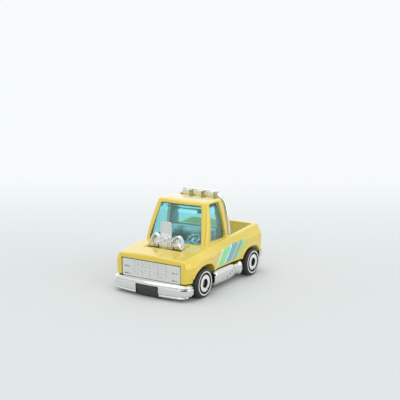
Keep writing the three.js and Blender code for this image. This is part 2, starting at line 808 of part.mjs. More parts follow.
// Exhaust headers: each pipe leaves the bank upwards and bends out and down beside it.
function headers(frontY, rearY) {
  const pitch = (rearY - frontY) / headerCount;
  const outerX = hoodHoleHalf - headerRadius - seatGap;
  const section = new THREE.Shape().absarc(0, 0, headerRadius, 0, 2 * Math.PI);
  return [-1, 1].flatMap((side) => Array.from({ length: headerCount }, (_, i) => {
    const y = frontY + pitch * (i + 0.5);
    const path = new THREE.CubicBezierCurve3(
      new THREE.Vector3(side * (blowerHalf - headerRadius), y, headerFootZ),
      new THREE.Vector3(side * blockHalf, y, headerPullZ),
      new THREE.Vector3(side * outerX, y, headerPullZ),
      new THREE.Vector3(side * outerX, y, blockTopZ - bankDepth + headerRadius),
    );
    return solid(new THREE.ExtrudeGeometry(section, { steps: 5, curveSegments: 3, extrudePath: path }));
  }));
}

// Blower with its belt drive in front.
function blower(frontY, rearY) {
  const outline = roundedPolygon([
    [-blowerFootHalf, blowerFootZ],
    [blowerFootHalf, blowerFootZ],
    [blowerHalf, blowerTopZ],
    [-blowerHalf, blowerTopZ],
  ], blowerCorner);
  const belt = roundedRect([-beltHalf, beltHalf], [blowerFootZ, blowerTopZ - beltTopMargin], beltHalf);
  return alongY(outline, [frontY + beltReach, rearY]).add(alongY(belt, [frontY, rearY]));
}

// Tall air scoop with rounded upper corners and a shallow mouth.
function scoop() {
  const frontY = frontAxleY + scoopBehindAxle;
  const footZ = blowerTopZ - blowerCorner;
  const profile = roundedPolygon([
    [frontY, footZ],
    [frontY + scoopLength, footZ],
    [frontY + scoopLength, scoopTopZ - scoopLength],
    [frontY + scoopRim, scoopTopZ],
    [frontY, scoopTopZ],
  ], scoopRim / 2);
  const outline = roundedRect([-scoopHalf, scoopHalf], [footZ, scoopTopZ], scoopCorner);
  const mouth = roundedRect(
    [-scoopHalf + scoopRim, scoopHalf - scoopRim],
    [blowerTopZ + scoopRim, scoopTopZ - scoopRim],
    scoopCorner - scoopRim,
  );
  const shell = acrossX(profile, [-scoopHalf, scoopHalf]).intersect(alongY(outline, [noseY, cabRearY]));
  return shell.subtract(alongY(mouth, [noseY, frontY + scoopMouthDepth]));
}

// Plated trim

function grillePanel() {
  const bottomZ = noseBottomZ;
  const faceY = noseY + grilleSetBack;
  const plate = alongY(roundedRect([-grilleHalf, grilleHalf], [bottomZ, grilleTopZ], grilleCorner), [
    faceY,
    faceY + grilleThickness,
  ]);
  return less(plate, ...grilleCells(faceY, bottomZ), ...lampSlits(faceY, bottomZ));
}

// Fine grid between the head lamps.
function grilleCells(faceY, bottomZ) {
  const half = grilleHalf - lampWidth - grilleBar;
  const columnPitch = (2 * half) / grilleColumns;
  const rowPitch = (grilleTopZ - bottomZ - 3 * grilleBar) / grilleRows;
  const cells = [];
  for (let column = 0; column < grilleColumns; column += 1) {
    for (let row = 0; row < grilleRows; row += 1) {
      const x = -half + columnPitch * column;
      const split = row < grilleRows / 2 ? 0 : grilleBar;
      const z = bottomZ + grilleBar * 1.5 + rowPitch * row + split;
      cells.push(box(
        [x + grilleBar / 2, x + columnPitch - grilleBar / 2],
        [-farBeyond, faceY + grilleCellDepth],
        [z, z + rowPitch - grilleBar],
      ));
    }
  }
  return cells;
}

// Narrow slit under each of the stacked head lamps.
function lampSlits(faceY, bottomZ) {
  const middleZ = (bottomZ + grilleTopZ) / 2;
  const depth = [-farBeyond, faceY + grilleCellDepth];
  return [-1, 1].flatMap((side) => [bottomZ + grilleBar, middleZ].map((z) => {
    const x = side * (grilleHalf - lampWidth / 2);
    return box([x - lampSlitLength / 2, x + lampSlitLength / 2], depth, [z, z + lampSlitHeight]);
  }));
}

// A bumper's plan, drawn in by inset: sides, rounded corners and bowed face.
function bumperPlan(half, faceY, backY, corner, inset) {
  const ahead = Math.sign(backY - faceY);
  const face = faceY + ahead * inset;
  const side = half - inset;
  const points = [[side, backY]];
  for (let i = 0; i <= bumperCornerSteps; i += 1) {
    const angle = (i / bumperCornerSteps) * (Math.PI / 2);
    const turn = corner * cornerFlatness * (1 - Math.sin(angle));
    const depth = Math.min(turn + bumperBow, Math.abs(backY - face));
    points.push([side - corner * (1 - Math.cos(angle)), face + ahead * depth]);
  }
  [0.5, 0].forEach((share) => {
    points.push([(side - corner) * share, face + ahead * bumperBow * share * share]);
  });
  const mirrored = points.slice(0, -1).toReversed().map(([x, y]) => [-x, y]);
  return [...points, ...mirrored];
}

// Bumper skin: plans at rising heights, drawn in towards the lower and upper edges.
function bumperSkin(half, faceY, backY, corner, levels) {
  const rings = levels.map(([z, inset]) => {
    const plan = bumperPlan(half, faceY, backY, corner, inset).map(([x, y]) => new THREE.Vector3(x, y, z));
    return backY > faceY ? plan.toReversed() : plan;
  });
  return loft(rings);
}

function frontBumper() {
  const height = bumperTopZ - bumperBottomZ;
  const skin = bumperSkin(
    bumperHalf,
    frontFaceY,
    bumperBackY,
    bumperCorner,
    frontBumperLevels.map(([share, inset]) => [bumperBottomZ + share * height, inset]),
  );
  const inside = bumperPlan(bumperHalf, frontFaceY, bumperBackY + wall, bumperCorner, bumperWall);
  const plan = new THREE.Shape(inside.map(([x, y]) => new THREE.Vector2(x, y)));
  const hollow = upZ(plan, [belowGround, bumperTopZ - bumperShelf]);
  const behindGrille = box(
    [-bumperHalf + bumperWall, bumperHalf - bumperWall],
    [noseY + grilleSetBack + grilleThickness, farBeyond],
    [0, farBeyond],
  );
  const notch = alongY(tabOutline(seatGap), [-farBeyond, noseY]);
  const underside = acrossX(new THREE.Shape([
    [frontFaceY, belowGround],
    [bumperBackY, belowGround],
    [bumperBackY, bumperBottomZ + bumperEndRise],
    [frontFaceY + bumperWall, bumperBottomZ],
    [frontFaceY, bumperBottomZ],
  ].map(([y, z]) => new THREE.Vector2(y, z))), [-farBeyond, farBeyond]);
  return less(skin, hollow, behindGrille, notch, underside);
}

function rearBumper() {
  const height = rearBumperTopZ - rearBumperBottomZ;
  const seatY = tailY + seatGap;
  const innerHalf = rearBumperHalf - bumperWall;
  const skin = bumperSkin(
    rearBumperHalf,
    rearFaceY,
    seatY - rearBumperWrap,
    rearBumperCorner,
    rearBumperLevels.map(([share, inset]) => [rearBumperBottomZ + share * height, inset]),
  );
  const between = box([-innerHalf, innerHalf], [-farBeyond, seatY], [-farBeyond, farBeyond]);
  const underTail = box([-farBeyond, farBeyond], [-farBeyond, seatY], [tailBottomZ - seatGap, farBeyond]);
  return less(skin, between, underTail);
}

// Side exhaust: a tall oval heat shield, a slimmer stretch and a turned-out tip.
function sidePipe(side) {
  const frontY = frontAxleY + wheelRadius + pipeFrontGap;
  const rearY = rearAxleY - wheelRadius - pipeRearGap;
  const tipY = rearY - pipeTipLength;
  const shieldEndY = tipY - pipeStepLength;
  const stretches = [[frontY, pipeFrontEnd], [shieldEndY, pipeStep], [tipY, pipeTip], [rearY, pipeRearEnd]];
  const sections = stretches.flatMap(([place, steps]) => steps.map(([off, share]) => [place + off, share]));
  const centreX = baseHalf + seatGap + pipeHalfWidth;
  const pipe = loft(sections.map(([y, share]) => ovalRing(side * centreX, y, pipeZ, share)));
  const span = [centreX + pipeHalfWidth - shieldHoleDepth, farBeyond].map((x) => side * x);
  const holes = Array.from({ length: shieldHoles }, (_, i) => {
    const y = shieldEndY - shieldHolePitch * (i + 0.5);
    const z = pipeZ + shieldHoleRise * (shieldHoles / 2 - i - 0.5);
    return rodX(shieldHoleRadius, span.toSorted((a, b) => a - b), y, z, 8);
  });
  return less(pipe, ...holes);
}

function ovalRing(x, y, z, share) {
  const squared = (v) => Math.sign(v) * Math.abs(v) ** (2 / pipeSquareness);
  return Array.from({ length: pipeSides }, (_, i) => {
    const angle = (-i / pipeSides) * 2 * Math.PI;
    return new THREE.Vector3(
      x + pipeHalfWidth * share * squared(Math.cos(angle)),
      y,
      z + pipeHalfHeight * share * squared(Math.sin(angle)),
    );
  });
}

function rollBar() {
  const y = cabRearY + hoopBehindCab;
  const footZ = bedFloorZ + seatGap;
  const half = [
    [hoopHalf, footZ],
    [hoopHalf, (footZ + railZ) / 2],
    [hoopHalf, railZ],
    [(hoopHalf + hoopShoulderHalf) / 2, (railZ + hoopShoulderZ) / 2],
    [hoopShoulderHalf, hoopShoulderZ],
    [hoopShoulderHalf - hoopBend / 3, lerp(hoopShoulderZ, hoopTopZ, 2 / 3)],
    [hoopShoulderHalf - hoopBend, hoopTopZ],
    [lampPitch / 2, hoopTopZ],
  ];
  const mirrored = half.toReversed().map(([x, z]) => [-x, z]);
  const path = new THREE.CatmullRomCurve3([...half, ...mirrored].map(([x, z]) => new THREE.Vector3(x, y, z)));
  const section = new THREE.Shape().absarc(0, 0, hoopRadius, 0, 2 * Math.PI);
  const tube = new THREE.ExtrudeGeometry(section, { steps: 26, curveSegments: 4, extrudePath: path });
  const footSpan = [footZ, footZ + hoopFootHeight];
  const feet = [-1, 1].map((side) => rodZ(hoopRadius + hoopFootFlange, side * hoopHalf, y, footSpan, 12));
  const barZ = hoopTopZ - lampBarSink;
  const barRearY = y + lampBarBack;
  const barFrontY = barRearY - lampBarDepth;
  const outline = roundedRect([-lampBarHalf, lampBarHalf], [barZ, barZ + lampBarHeight], lampCorner);
  const bar = alongY(outline, [barFrontY, barRearY]);
  const lamps = [-1, 0, 1].map((place) => {
    const across = [place * lampPitch - lampHalf, place * lampPitch + lampHalf];
    const face = roundedRect(across, [barZ, barZ + lampHeight], lampCorner);
    return alongY(face, [barFrontY - lampReach, barRearY]);
  });
  return joined(solid(tube), bar, ...feet, ...lamps);
}

// Base

function tabOutline(grow) {
  return roundedPolygon([
    [-tabTopHalf - grow, tabTopZ + grow],
    [-tabTopHalf - grow, lerp(tabBottomZ, tabTopZ, 0.5)],
    [-tabBottomHalf - grow, tabBottomZ - grow],
    [tabBottomHalf + grow, tabBottomZ - grow],
    [tabTopHalf + grow, lerp(tabBottomZ, tabTopZ, 0.5)],
    [tabTopHalf + grow, tabTopZ + grow],
  ], tabCorner);
}

function frontTab() {
  const faceY = frontFaceY + tabSetBack;
  const rearY = frontPostY - postHeadRadius - seatGap;
  const profile = new THREE.Shape([
    [faceY, tabTopZ],
    [faceY, tabTopZ - tabLip],
    [faceY + tabLean, tabBottomZ],
    [rearY - baseThickness, tabBottomZ],
    [rearY, baseBottomZ],
    [rearY, baseTopZ],
    [noseY, tabTopZ],
  ].map(([y, z]) => new THREE.Vector2(y, z)));
  return acrossX(profile, [-farBeyond, farBeyond]).intersect(alongY(tabOutline(0), [-farBeyond, farBeyond]));
}

function cradles(axleY) {
  return [-1, 1].map((side) => {
    const outerX = side * baseHalf;
    const innerX = side * (baseHalf - cradleWidth);
    const span = [Math.min(outerX, innerX), Math.max(outerX, innerX)];
    const topZ = axleZ + axleRadius + runningGap + cradleRoof;
    return box(span, [axleY - cradleLength / 2, axleY + cradleLength / 2], [baseBottomZ, topZ]);
  });
}

function chassisBase() {
  const plan = roundedRect(
    [-baseHalf, baseHalf],
    [frontFaceY + bumperWall + bumperBow + seatGap, tailY - tailgateThickness],
    baseCorner,
  );
  const plate = upZ(plan, [baseBottomZ, baseTopZ]);
  const axleYs = [frontAxleY, rearAxleY];
  const bores = axleYs.map((y) => rodX(axleRadius + runningGap, [-farBeyond, farBeyond], y, axleZ));
  const postHoles = [frontPostY, rearPostY].flatMap((y) => [
    rodZ(postNeckRadius + seatGap, 0, y, [0, baseTopZ + seatGap]),
    rodZ(postHeadRadius + seatGap, 0, y, [0, baseBottomZ + postHeadHeight + seatGap]),
  ]);
  return less(joined(plate, frontTab(), ...axleYs.flatMap(cradles)), ...bores, ...postHoles);
}

// Wheels and axles

function axle(axleY) {
  const headX = wheelFaceX - hubRecess + seatGap;
  const wireEnd = headX + axleHeadLength / 2;
  const wire = rodX(axleRadius, [-wireEnd, wireEnd], axleY, axleZ, 12);
  const heads = [-1, 1].map((side) => {
    const ends = [side * headX, side * (headX + axleHeadLength)].sort((a, b) => a - b);
    return rodX(axleHeadRadius, ends, axleY, axleZ, 12);
  });
  return joined(wire, ...heads);
}

// One-piece wheel turned about its axle, outer face towards +X.
function wheelGeometry() {
  const outer = wheelRadius / Math.cos(Math.PI / wheelSides);
  const bore = axleRadius + runningGap;
  const bossX = baseHalf + 2 * seatGap;
  const dishX = wheelInnerX + dishDepth;
  const grooveX = wheelFaceX - printStep;
  const hubX = wheelFaceX - hubRecess;
  const profile = [
    [bore, bossX],
    [wheelRadius * (dishInner - dishDraft), bossX],
    [wheelRadius * dishInner, dishX],
    [wheelRadius * dishOuter, dishX],
    [wheelRadius * (dishOuter + dishDraft), wheelInnerX],
    [outer - treadInnerRound, wheelInnerX],
    [outer, wheelInnerX + treadInnerRound],
    [outer, wheelFaceX - treadOuterRound],
    [outer - treadOuterRound / 2, wheelFaceX - treadOuterRound / 5],
    [wheelRadius * printOuter, wheelFaceX],
    [wheelRadius * printInner, wheelFaceX],
    [wheelRadius * (printInner - faceDraft), grooveX],
    [wheelRadius * (discOuter + faceDraft), grooveX],
    [wheelRadius * discOuter, wheelFaceX],
    [wheelRadius * discInner, wheelFaceX],
    [wheelRadius * (discInner - faceDraft), hubX],
    [bore, hubX],
    [bore, bossX],
  ];
  const outline = profile.map(([radius, x]) => new THREE.Vector2(radius, x));
  const lathe = new THREE.LatheGeometry(outline, wheelSides);
  return lathe.rotateY(Math.PI / wheelSides).rotateZ(-Math.PI / 2);
}

function wheel(axleY, side) {
  const geometry = wheelGeometry();
  if (side < 0) geometry.rotateZ(Math.PI);
  return solid(geometry.translate(0, axleY, axleZ));
}

// Materials and assembly

function finish(color, roughness, metalness, more = {}) {
  return new THREE.MeshStandardMaterial({ color, roughness, metalness, ...more });
}

const enamel = () => finish(0xe4c94f, 0.28, 0.1);
const plating = () => finish(0xd5d8db, 0.14, 1);
const tintedClear = () => finish(0x49a3b6, 0.08, 0, { transparent: true, opacity: 0.55 });
const blackPlastic = () => finish(0x2b2b2e, 0.5, 0);
const wheelPlastic = () => finish(0x1f1f21, 0.45, 0);
const steel = () => finish(0xb4b7bb, 0.35, 1);

const truck = new THREE.Group();
truck.add(
  piece('body_shell', bodyShell(), enamel()),
  piece('window_insert', windowInsert(), tintedClear()),
  piece('interior_tub', interiorTub(), plating()),
  piece('engine', engine(), plating()),
  piece('roll_bar', rollBar(), plating()),
  piece('grille_panel', grillePanel(), plating()),
  piece('front_bumper', frontBumper(), plating()),
  piece('rear_bumper', rearBumper(), plating()),
  piece('side_pipe_left', sidePipe(1), plating()),
  piece('side_pipe_right', sidePipe(-1), plating()),
  piece('chassis_base', chassisBase(), blackPlastic()),
);
for (const [end, axleY] of [['front', frontAxleY], ['rear', rearAxleY]]) {
  truck.add(piece(`axle_${end}`, axle(axleY), steel()));
  for (const [name, side] of [['left', 1], ['right', -1]]) {
    truck.add(piece(`wheel_${end}_${name}`, wheel(axleY, side), wheelPlastic()));
  }
}

export default truck;
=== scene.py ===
"""Looks of a small die-cast toy pickup truck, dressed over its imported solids.

Shapes are drawn in millimetres, nose towards -Y and the driver's side towards +X, and are scaled to
metres once, when a piece is fitted to its body. Sizes that the solids know come from the frame.
"""

import math

import bmesh
import bpy
import numpy as np
from mathutils import Matrix, Vector


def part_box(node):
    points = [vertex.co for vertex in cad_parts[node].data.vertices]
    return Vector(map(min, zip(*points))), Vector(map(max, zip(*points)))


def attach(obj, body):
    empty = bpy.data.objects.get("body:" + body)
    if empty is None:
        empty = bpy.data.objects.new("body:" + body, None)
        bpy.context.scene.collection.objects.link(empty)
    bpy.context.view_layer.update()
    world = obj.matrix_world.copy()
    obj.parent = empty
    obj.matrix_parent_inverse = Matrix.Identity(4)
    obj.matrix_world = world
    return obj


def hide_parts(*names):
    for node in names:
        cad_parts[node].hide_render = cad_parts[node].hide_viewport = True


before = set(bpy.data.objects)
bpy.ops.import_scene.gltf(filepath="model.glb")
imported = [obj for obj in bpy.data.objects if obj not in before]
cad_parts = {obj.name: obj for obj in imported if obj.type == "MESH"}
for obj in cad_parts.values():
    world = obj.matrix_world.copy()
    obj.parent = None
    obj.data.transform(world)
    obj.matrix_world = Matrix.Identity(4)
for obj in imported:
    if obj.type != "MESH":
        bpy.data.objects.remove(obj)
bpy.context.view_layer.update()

MM = 0.001


def span(node):
    """Lowest and highest corner of a solid, in millimetres."""
    low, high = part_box(node)
    return np.array(low) / MM, np.array(high) / MM


# Sizes, in millimetres

SEAT_GAP = 0.3
WALL = 1.1
SMALL_CORNER = 0.5
FAR = 60.0  # reach of a cut that passes right through
BELOW_GROUND = -1.0

wheel_low, wheel_high = span("wheel_front_left")
WHEEL_RADIUS = (wheel_high[2] - wheel_low[2]) / 2
WHEEL_FACE = wheel_high[0]
TREAD_WIDTH = 4.2
WHEEL_INNER = WHEEL_FACE - TREAD_WIDTH
AXLE_Z = (wheel_high[2] + wheel_low[2]) / 2
FRONT_AXLE = (wheel_high[1] + wheel_low[1]) / 2
REAR_AXLE = sum(corner[1] for corner in span("wheel_rear_left")) / 2

TAIL_LAMP_PROUD = 0.35
NOSE = span("body_shell")[0][1]
TAIL = span("body_shell")[1][1] - TAIL_LAMP_PROUD
COWL = FRONT_AXLE + 6.4
CAB_REAR = COWL + 17.25
NOSE_HALF = 14.5
FENDER_HALF = WHEEL_FACE - 0.45
DOOR_HALF = FENDER_HALF - 0.75
FENDER_BLEND = 5.0
HOOD_HALF = 14.0
COWL_HALF = 13.8
RAIL_HALF = 14.9
RAIL_Z = 18.8
SILL_TUCK = 0.4
SILL_Z = 7.9
NOSE_BOTTOM_Z = 6.3
TAIL_BOTTOM_Z = 8.4
TAIL_CREASE_Z = 15.6
CREASE_BAND = (0.9, 0.2)  # depths under the crease between which the flank stands upright
CREASE_STEP = (0.35, 0.05)  # in and up, from the crease to the foot of the shoulder
SHOULDER_LEAD = 0.5  # straight start of the shoulder above that step
EDGE_RADIUS = 0.7
STATION = 0.7  # distance between sections of the loft

FRONT_ARCH = FRONT_AXLE + 1.1
REAR_ARCH = REAR_AXLE - 0.35
FRONT_ARCH_ROOM = 1.5
REAR_ARCH_ROOM = 1.3
ARCH_HEADROOM = 1.1
ARCH_SQUARENESS = 2.6
LIP_WIDTH = 0.9
LIP_HEIGHT = 0.35
WELL_DEPTH = 4.4

CAB_HALF = 13.3
ROOF_HALF = 11.1
ROOF_FRONT = COWL + 4.7
ROOF_REAR = CAB_REAR - 1.3
CAB_FOOT_Z = 16.4
ROOF_EDGE_Z = 30.2
ROOF_RISE = 1.15
CAB_CORNER = 1.9
WINDSCREEN_BOW = 0.6
CAB_BARREL = 0.45
WINDOW_CORNER = 0.8
WINDSCREEN = ((11.4, 16.55), (8.75, 29.85))  # half width and height of its lower and upper corners
REAR_WINDOW = ((8.4, 20.2), (7.4, 28.8))
SIDE_WINDOW_Z = (17.3, 30.4)
SIDE_WINDOW_FOOT = (COWL + 3.5, CAB_REAR - 3.1)
SIDE_WINDOW_HEAD = (ROOF_FRONT + 1.35, ROOF_REAR - 3.4)
GLASS = 0.8
GLASS_BOTTOM_Z = 15.4
PANE_SET_BACK = 0.4
SIDE_PANE_SET_BACK = 0.95

BED_HALF = 13.3
BED_FLOOR_Z = 12.5
TAILGATE = 1.7
TAIL_PANEL_HALF = 10.4
TAIL_PANEL_DEPTH = 0.3
BASE_Z = 2.2
BASE_SEAT_Z = 3.7  # height at which pieces stand on the base
BASE_HALF = 11.6
TAB_CORNER = 0.4

GRILLE_HALF = 12.4
GRILLE_TOP_Z = 12.3
GRILLE_SET_BACK = 0.25
GRILLE_THICKNESS = 1.6
GRILLE_LAP = 0.25  # how far it reaches down behind the bumper

BUMPER_FACE = span("front_bumper")[0][1]
BUMPER_HALF = FENDER_HALF - 0.45
BUMPER_BOTTOM_Z = 1.1
BUMPER_TOP_Z = NOSE_BOTTOM_Z - SEAT_GAP
BUMPER_BACK = FRONT_AXLE - WHEEL_RADIUS - 2 * SEAT_GAP
BUMPER_WALL = 1.9
BUMPER_BOW = 0.9
BUMPER_CORNER = 4.6

HOOD_RECESS_HALF = 7.9
HOOD_RECESS = (FRONT_AXLE - 1.6, FRONT_AXLE + 4.8)
HOOD_RECESS_DEPTH = 0.4
HOOD_HOLE_HALF = 7.6
HOOD_HOLE = (FRONT_AXLE - 0.1, FRONT_AXLE + 3.2)
ENGINE_FRONT = HOOD_HOLE[0] + SEAT_GAP
ENGINE_REAR = HOOD_HOLE[1] - SEAT_GAP
BANK_FRONT = ENGINE_FRONT + 0.9
BLOCK_HALF = 4.4
BLOCK_TOP_Z = 16.2
BANK_FOOT_Z = 12.8
BLOWER_HALF = 2.3
BLOWER_FOOT = (2.9, 12.2)
BLOWER_TOP_Z = 19.9
SCOOP_HALF = 2.45
SCOOP_TOP_Z = 24.9


# Outlines

CORNER_STEPS = 6


def corner_curve(start, corner, end):
    """Points that round a corner off between start and end."""
    shares = np.linspace(0, 1, CORNER_STEPS + 1)
    return [(1 - t) ** 2 * start + 2 * t * (1 - t) * corner + t**2 * end for t in shares]


def rounded(points, radius):
    """Polygon with every corner drawn round."""
    points = np.asarray(points, float)
    outline = []
    for before, corner, after in zip(np.roll(points, 1, 0), points, np.roll(points, -1, 0)):
        ends = []
        for way in (before - corner, after - corner):
            length = np.linalg.norm(way)
            ends.append(corner + way * (min(radius, length / 2) / length))
        outline += corner_curve(ends[0], corner, ends[1])
    return np.array(outline)


def both(half):
    """Stretch from one side to the other."""
    return -half, half


def four_corners(across, up):
    (left, right), (low, high) = across, up
    return [(left, low), (right, low), (right, high), (left, high)]


def rectangle(across, up, radius):
    return rounded(four_corners(across, up), radius)


def squarish(wave, squareness):
    """Bends a sine wave so that the oval drawn with it fills its corners more."""
    return np.sign(wave) * np.abs(wave) ** (2 / squareness)


def mirrored(half):
    """Outline from one half of it, carried on along the other side."""
    return [*half, *[(-x, z) for x, z in reversed(half)]]


def eased(points, rounds):
    """Open line with its corners cut again and again, ends kept."""
    points = np.asarray(points, float)
    for _ in range(rounds):
        cut = np.empty((2 * len(points) - 2, points.shape[1]))
        cut[0::2] = 0.75 * points[:-1] + 0.25 * points[1:]
        cut[1::2] = 0.25 * points[:-1] + 0.75 * points[1:]
        points = np.vstack([points[:1], cut, points[-1:]])
    return points


def curve_through(points, steps):
    """Smooth curve through every point."""
    points = np.asarray(points, float)
    held = np.vstack([2 * points[0] - points[1], points, 2 * points[-1] - points[-2]])
    curve = []
    for a, b, c, d in zip(held, held[1:], held[2:], held[3:]):
        for t in np.linspace(0, 1, steps, endpoint=False):
            bend = (2 * a - 5 * b + 4 * c - d) * t**2 + (3 * b - a - 3 * c + d) * t**3
            curve.append(b + 0.5 * ((c - a) * t + bend))
    curve.append(points[-1])
    return np.array(curve)


# Solids, in millimetres


def placed(name, data):
    """New object in the scene."""
    made = bpy.data.objects.new(name, data)
    bpy.context.scene.collection.objects.link(made)
    return made


def skin(points, faces):
    """Closed mesh with its faces turned outwards."""
    mesh = bpy.data.meshes.new("shape")
    mesh.from_pydata([tuple(p) for p in points], [], faces)
    work = bmesh.new()
    work.from_mesh(mesh)
    bmesh.ops.recalc_face_normals(work, faces=work.faces)
    work.to_mesh(mesh)
    work.free()
    return placed("shape", mesh)


def loft(rings, endless=False):
    """Skin through rings of points; its ends are closed, or joined to each other."""
    rings = np.asarray(rings, float)
    count, sides = rings.shape[:2]
    faces = []
    for ring in range(count if endless else count - 1):
        here, there = ring * sides, (ring + 1) % count * sides
        for i in range(sides):
            after = (i + 1) % sides
            faces.append((here + i, here + after, there + after, there + i))
    if not endless:
        faces += [tuple(range(sides)), tuple(range((count - 1) * sides, count * sides))]
    return skin(rings.reshape(-1, 3), faces)


def prism(outline, axis, ends):
    """Outline in the two other axes, carried along one axis between two places."""
    rings = [np.insert(np.asarray(outline, float), axis, place, axis=1) for place in ends]
    return loft(rings)


def block(x, y, z):
    return prism(four_corners(x, y), 2, z)


def circle(radius, sides):
    turn = np.linspace(0, 2 * math.pi, sides, endpoint=False)
    return radius * np.column_stack([np.cos(turn), np.sin(turn)])


def rod(radius, axis, centre, ends, sides=48):
    return prism(circle(radius, sides) + centre, axis, ends)


def tube(path, radius, sides=24):
    """Round bar along a path."""
    path = np.asarray(path, float)
    ways = np.gradient(path, axis=0)
    ways /= np.linalg.norm(ways, axis=1)[:, None]
    askew = (0.31, 0.83, 0.47)  # a direction that no bar takes
    side = np.cross(ways[0], askew)
    rings = []
    for place, way in zip(path, ways):
        side = side - way * (side @ way)
        side /= np.linalg.norm(side)
        across = np.cross(way, side)
        rings.append([place + u * side + v * across for u, v in circle(radius, sides)])
    return loft(rings)


def turned(profile, sides):
    """Ring-shaped solid about the X axis; the profile is a closed line of radius and x."""
    return loft([[(x, u * r, v * r) for u, v in circle(1, sides)] for r, x in profile], endless=True)


def settled(shape):
    """Works the shape's modifiers into its mesh."""
    depsgraph = bpy.context.evaluated_depsgraph_get()
    shape.data = bpy.data.meshes.new_from_object(shape.evaluated_get(depsgraph))
    shape.modifiers.clear()


def combined(operation, first, others):
    for other in others:
        step = first.modifiers.new("combine", "BOOLEAN")
        step.operation = operation
        step.solver = "MANIFOLD"
        step.object = other
    settled(first)
    for other in others:
        bpy.data.objects.remove(other)
    return first


def joined(first, *others):
    return combined("UNION", first, others)


def less(first, *others):
    return combined("DIFFERENCE", first, others)


def common(first, *others):
    return combined("INTERSECT", first, others)


def softened(shape, grain, rounds, keep):
    """Even mesh of that grain with its edges worn round, as paint or plating leaves them."""
    remesh = shape.modifiers.new("grain", "REMESH")
    remesh.mode = "VOXEL"
    remesh.voxel_size = grain
    worn = shape.modifiers.new("worn", "SMOOTH")
    worn.factor = 0.5
    worn.iterations = rounds
    thinned = shape.modifiers.new("thinned", "DECIMATE")
    thinned.ratio = keep
    settled(shape)
    shape.data.polygons.foreach_set("use_smooth", [True] * len(shape.data.polygons))
    return shape


def creased(shape, degrees):
    """Smooth shading that breaks at edges sharper than that."""
    work = bmesh.new()
    work.from_mesh(shape.data)
    for face in work.faces:
        face.smooth = True
    for edge in work.edges:
        edge.smooth = edge.calc_face_angle(0) < math.radians(degrees)
    work.to_mesh(shape.data)
    work.free()
    return shape


def copied(node):
    """Copy of a solid, in millimetres, with its split corners welded."""
    weld = 0.001
    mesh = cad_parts[node].data.copy()
    mesh.transform(Matrix.Scale(1 / MM, 4))
    work = bmesh.new()
    work.from_mesh(mesh)
    bmesh.ops.remove_doubles(work, verts=work.verts, dist=weld)
    work.to_mesh(mesh)
    work.free()
    return placed(node, mesh)


def fitted(shape, name, material, node, body="truck"):
    """Scales the piece to metres, dresses it and hands it to its body."""
    shape.name = name
    shape.data.transform(Matrix.Scale(MM, 4))
    shape.data.materials.clear()
    shape.data.materials.append(material)
    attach(shape, body)
    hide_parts(node)


# Lower body


def knots(*pairs):
    return tuple(zip(*pairs))


WIDEST = knots(
    (NOSE, NOSE_HALF),
    (FRONT_AXLE - WHEEL_RADIUS, 0.1 * NOSE_HALF + 0.9 * FENDER_HALF),
    (FRONT_AXLE - FENDER_BLEND, FENDER_HALF),
    (FRONT_ARCH + WHEEL_RADIUS, FENDER_HALF),
    (FRONT_ARCH + WHEEL_RADIUS + FENDER_BLEND, DOOR_HALF),
    (REAR_ARCH - WHEEL_RADIUS - FENDER_BLEND, DOOR_HALF),
    (REAR_ARCH - WHEEL_RADIUS, FENDER_HALF),
    (TAIL, FENDER_HALF),
)
CREASE = knots((NOSE, 11.6), (FRONT_AXLE, 13.6), (TAIL, TAIL_CREASE_Z))
TOP = knots(
    (NOSE, 14.0),
    (HOOD_RECESS[0], 15.0),
    (COWL - 2.5, 15.6),
    (COWL + 5, 16.5),
    (CAB_REAR, 17.5),
    (TAIL, RAIL_Z),
)
TOP_HALF = knots((NOSE, HOOD_HALF), (COWL, COWL_HALF), (CAB_REAR, RAIL_HALF), (TAIL, RAIL_HALF))
CROWN = knots((NOSE, 0.6), (COWL, 0.6), (CAB_REAR, 0.1), (TAIL, 0.1))
BOTTOM = knots(
    (FRONT_AXLE - 1, NOSE_BOTTOM_Z),
    (FRONT_AXLE + 1, SILL_Z),
    (REAR_AXLE - 1, SILL_Z),
    (REAR_AXLE + 1, TAIL_BOTTOM_Z),
)
BLEND = np.linspace(-2.2, 2.2, 9)  # stretch over which a line turns from one slope to the next


def along(y, line):
    """Height or half width at y, with soft turns between the known places."""
    return np.interp(y + BLEND, *line).mean()


def body_ring(y, inset, bottom):
    """Section of the lower body at y, drawn in by inset."""
    widest = along(y, WIDEST) - inset
    top = along(y, TOP_HALF) - inset
    crease_z = along(y, CREASE) - inset / 2
    top_z = along(y, TOP) - inset
    crown = along(y, CROWN)
    sill = widest - SILL_TUCK
    belly_out, belly_up = 0.7, 0.45  # shares of the tuck and of the height under the crease
    flank = [
        (sill, bottom),
        (sill + belly_out * SILL_TUCK, bottom + belly_up * (crease_z - bottom)),
        (widest, crease_z - CREASE_BAND[0]),
        (widest, crease_z - CREASE_BAND[1]),
    ]
    shoulder = np.array((widest - CREASE_STEP[0], crease_z + CREASE_STEP[1]))
    edge = np.array((top, top_z))
    slope = (shoulder - edge) / np.linalg.norm(shoulder - edge)
    turn_low = edge + EDGE_RADIUS * slope
    edge_crown, half_crown = 0.15, 0.75  # shares of the crown at the lid's edge and half way in
    turn_high = np.array((top - EDGE_RADIUS, top_z + edge_crown * crown))
    lid = [turn_high, (0.5 * top, top_z + half_crown * crown), (0, top_z + crown)]
    near = np.vstack(
        [
            (0, bottom),
            eased([*flank, shoulder, shoulder - SHOULDER_LEAD * slope, turn_low], 2)[:-1],
            corner_curve(turn_low, edge, turn_high)[:-1],
            eased(lid, 2),
        ]
    )
    far = near[-2:0:-1] * (-1, 1)
    return np.insert(np.vstack([near, far]), 1, y, axis=1)


